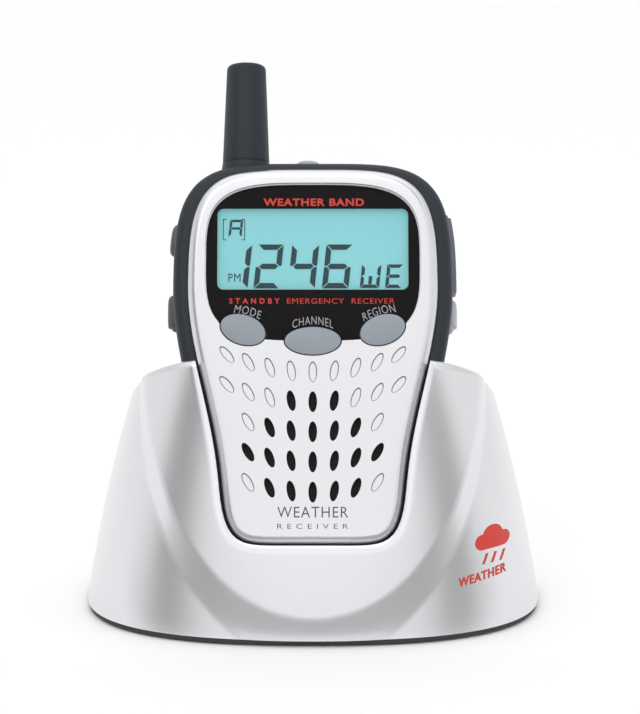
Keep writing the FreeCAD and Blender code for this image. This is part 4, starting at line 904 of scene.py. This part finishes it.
def soft_studio():
    """A white room, brighter overhead, with a dimmer gap to each side of the front."""
    world = bpy.data.worlds.new("soft_studio")
    world.use_nodes = True
    tree = world.node_tree
    links = tree.links
    place = tree.nodes.new("ShaderNodeTexCoord")
    split = tree.nodes.new("ShaderNodeSeparateXYZ")
    links.new(place.outputs["Generated"], split.inputs[0])
    sideways = reckon(tree, "ABSOLUTE", split.outputs["X"])
    forward = reckon(tree, "MULTIPLY", split.outputs["Y"])
    forward.inputs[1].default_value = -1.0
    bearing = reckon(tree, "ARCTAN2", sideways.outputs[0], forward.outputs[0])
    share = reckon(tree, "DIVIDE", bearing.outputs[0])
    share.inputs[1].default_value = math.pi
    round_about = ramp(tree, STUDIO_ROUND)
    upward = ramp(tree, STUDIO_UP)
    links.new(share.outputs[0], round_about.inputs[0])
    links.new(split.outputs["Z"], upward.inputs[0])
    both = tree.nodes.new("ShaderNodeMix")
    both.data_type = "RGBA"
    both.blend_type = "MULTIPLY"
    both.inputs["Factor"].default_value = 1.0
    links.new(round_about.outputs["Color"], both.inputs[6])
    links.new(upward.outputs["Color"], both.inputs[7])
    links.new(both.outputs[2], tree.nodes["Background"].inputs["Color"])
    tree.nodes["Background"].inputs["Strength"].default_value = 1.48
    return world


class RADIO_OT_stage(bpy.types.Operator):
    """Sets up the floor, the soft light and the camera"""
    bl_idname = "radio.stage"
    bl_label = "Stage"

    def execute(self, context):
        scene = context.scene
        floor = new_object("floor", [(-6, -6, 0), (6, -6, 0), (6, 6, 0), (-6, 6, 0)], [[0, 1, 2, 3]],
                           plain("floor_white", (0.97, 0.97, 0.97), 0.6))
        scene.world = soft_studio()
        # A grey card on the floor in front of the cradle, which only its reflection on the silver shows.
        left, right, near, far, level = -0.5, 0.5, -1.1, -0.044, 0.001
        corners = [(left, near, level), (right, near, level), (right, far, level), (left, far, level)]
        card = new_object("shade_card", corners, [[0, 1, 2, 3]], lit("card_grey", (0.2, 0.2, 0.2), 1.0))
        card.visible_camera = card.visible_diffuse = card.visible_shadow = card.visible_transmission = False
        scene.view_settings.view_transform = "Standard"
        for name, place, aim, width, power in (
                ("key_light", (-0.45, -0.5, 0.75), (0, 0, 0.06), 0.5, 0.8),
                ("fill_light", (0.6, -0.45, 0.45), (0, 0, 0.06), 0.5, 0.5)):
            lamp = bpy.data.lights.new(name, "AREA")
            lamp.size = width
            lamp.energy = power
            thing = bpy.data.objects.new(name, lamp)
            scene.collection.objects.link(thing)
            thing.location = place
            thing.rotation_euler = (Vector(aim) - Vector(place)).to_track_quat("-Z", "Y").to_euler()
        camera = bpy.data.cameras.new("camera")
        camera.sensor_width = CAMERA_FILM
        camera.lens = CAMERA_LENS
        thing = bpy.data.objects.new("camera", camera)
        scene.collection.objects.link(thing)
        middle = Vector(CAMERA_AIM) * MM
        back = Vector((0.0, -math.cos(CAMERA_RISE), math.sin(CAMERA_RISE)))
        thing.location = middle + back * (CAMERA_AWAY * MM)
        thing.rotation_euler = (-back).to_track_quat("-Z", "Y").to_euler()
        camera.clip_start = 0.01
        scene.camera = thing
        return {"FINISHED"}


class RADIO_PT_panel(bpy.types.Panel):
    """Lists the operators and the sizes"""
    bl_idname = "RADIO_PT_panel"
    bl_label = "Emergency radio"
    bl_space_type = "VIEW_3D"
    bl_region_type = "UI"
    bl_category = "Radio"

    def draw(self, context):
        for item in STEPS:
            self.layout.operator(item.bl_idname)
        for group in (context.scene.radio_sizes, context.scene.radio_colours):
            for name in group.__annotations__:
                self.layout.prop(group, name)


STEPS = (RADIO_OT_cradle, RADIO_OT_cover, RADIO_OT_grille, RADIO_OT_body, RADIO_OT_antenna, RADIO_OT_display,
         RADIO_OT_keys, RADIO_OT_prints, RADIO_OT_stage)
CLASSES = (RadioSizes, RadioColours) + STEPS + (RADIO_PT_panel,)


def register():
    for item in CLASSES:
        bpy.utils.register_class(item)
    bpy.types.Scene.radio_sizes = PointerProperty(type=RadioSizes)
    bpy.types.Scene.radio_colours = PointerProperty(type=RadioColours)


def unregister():
    del bpy.types.Scene.radio_colours
    del bpy.types.Scene.radio_sizes
    for item in reversed(CLASSES):
        bpy.utils.unregister_class(item)


def main():
    """Builds everything in order."""
    register()
    for item in STEPS:
        group, name = item.bl_idname.split(".")
        getattr(getattr(bpy.ops, group), name)()


if __name__ == "__main__":
    main()
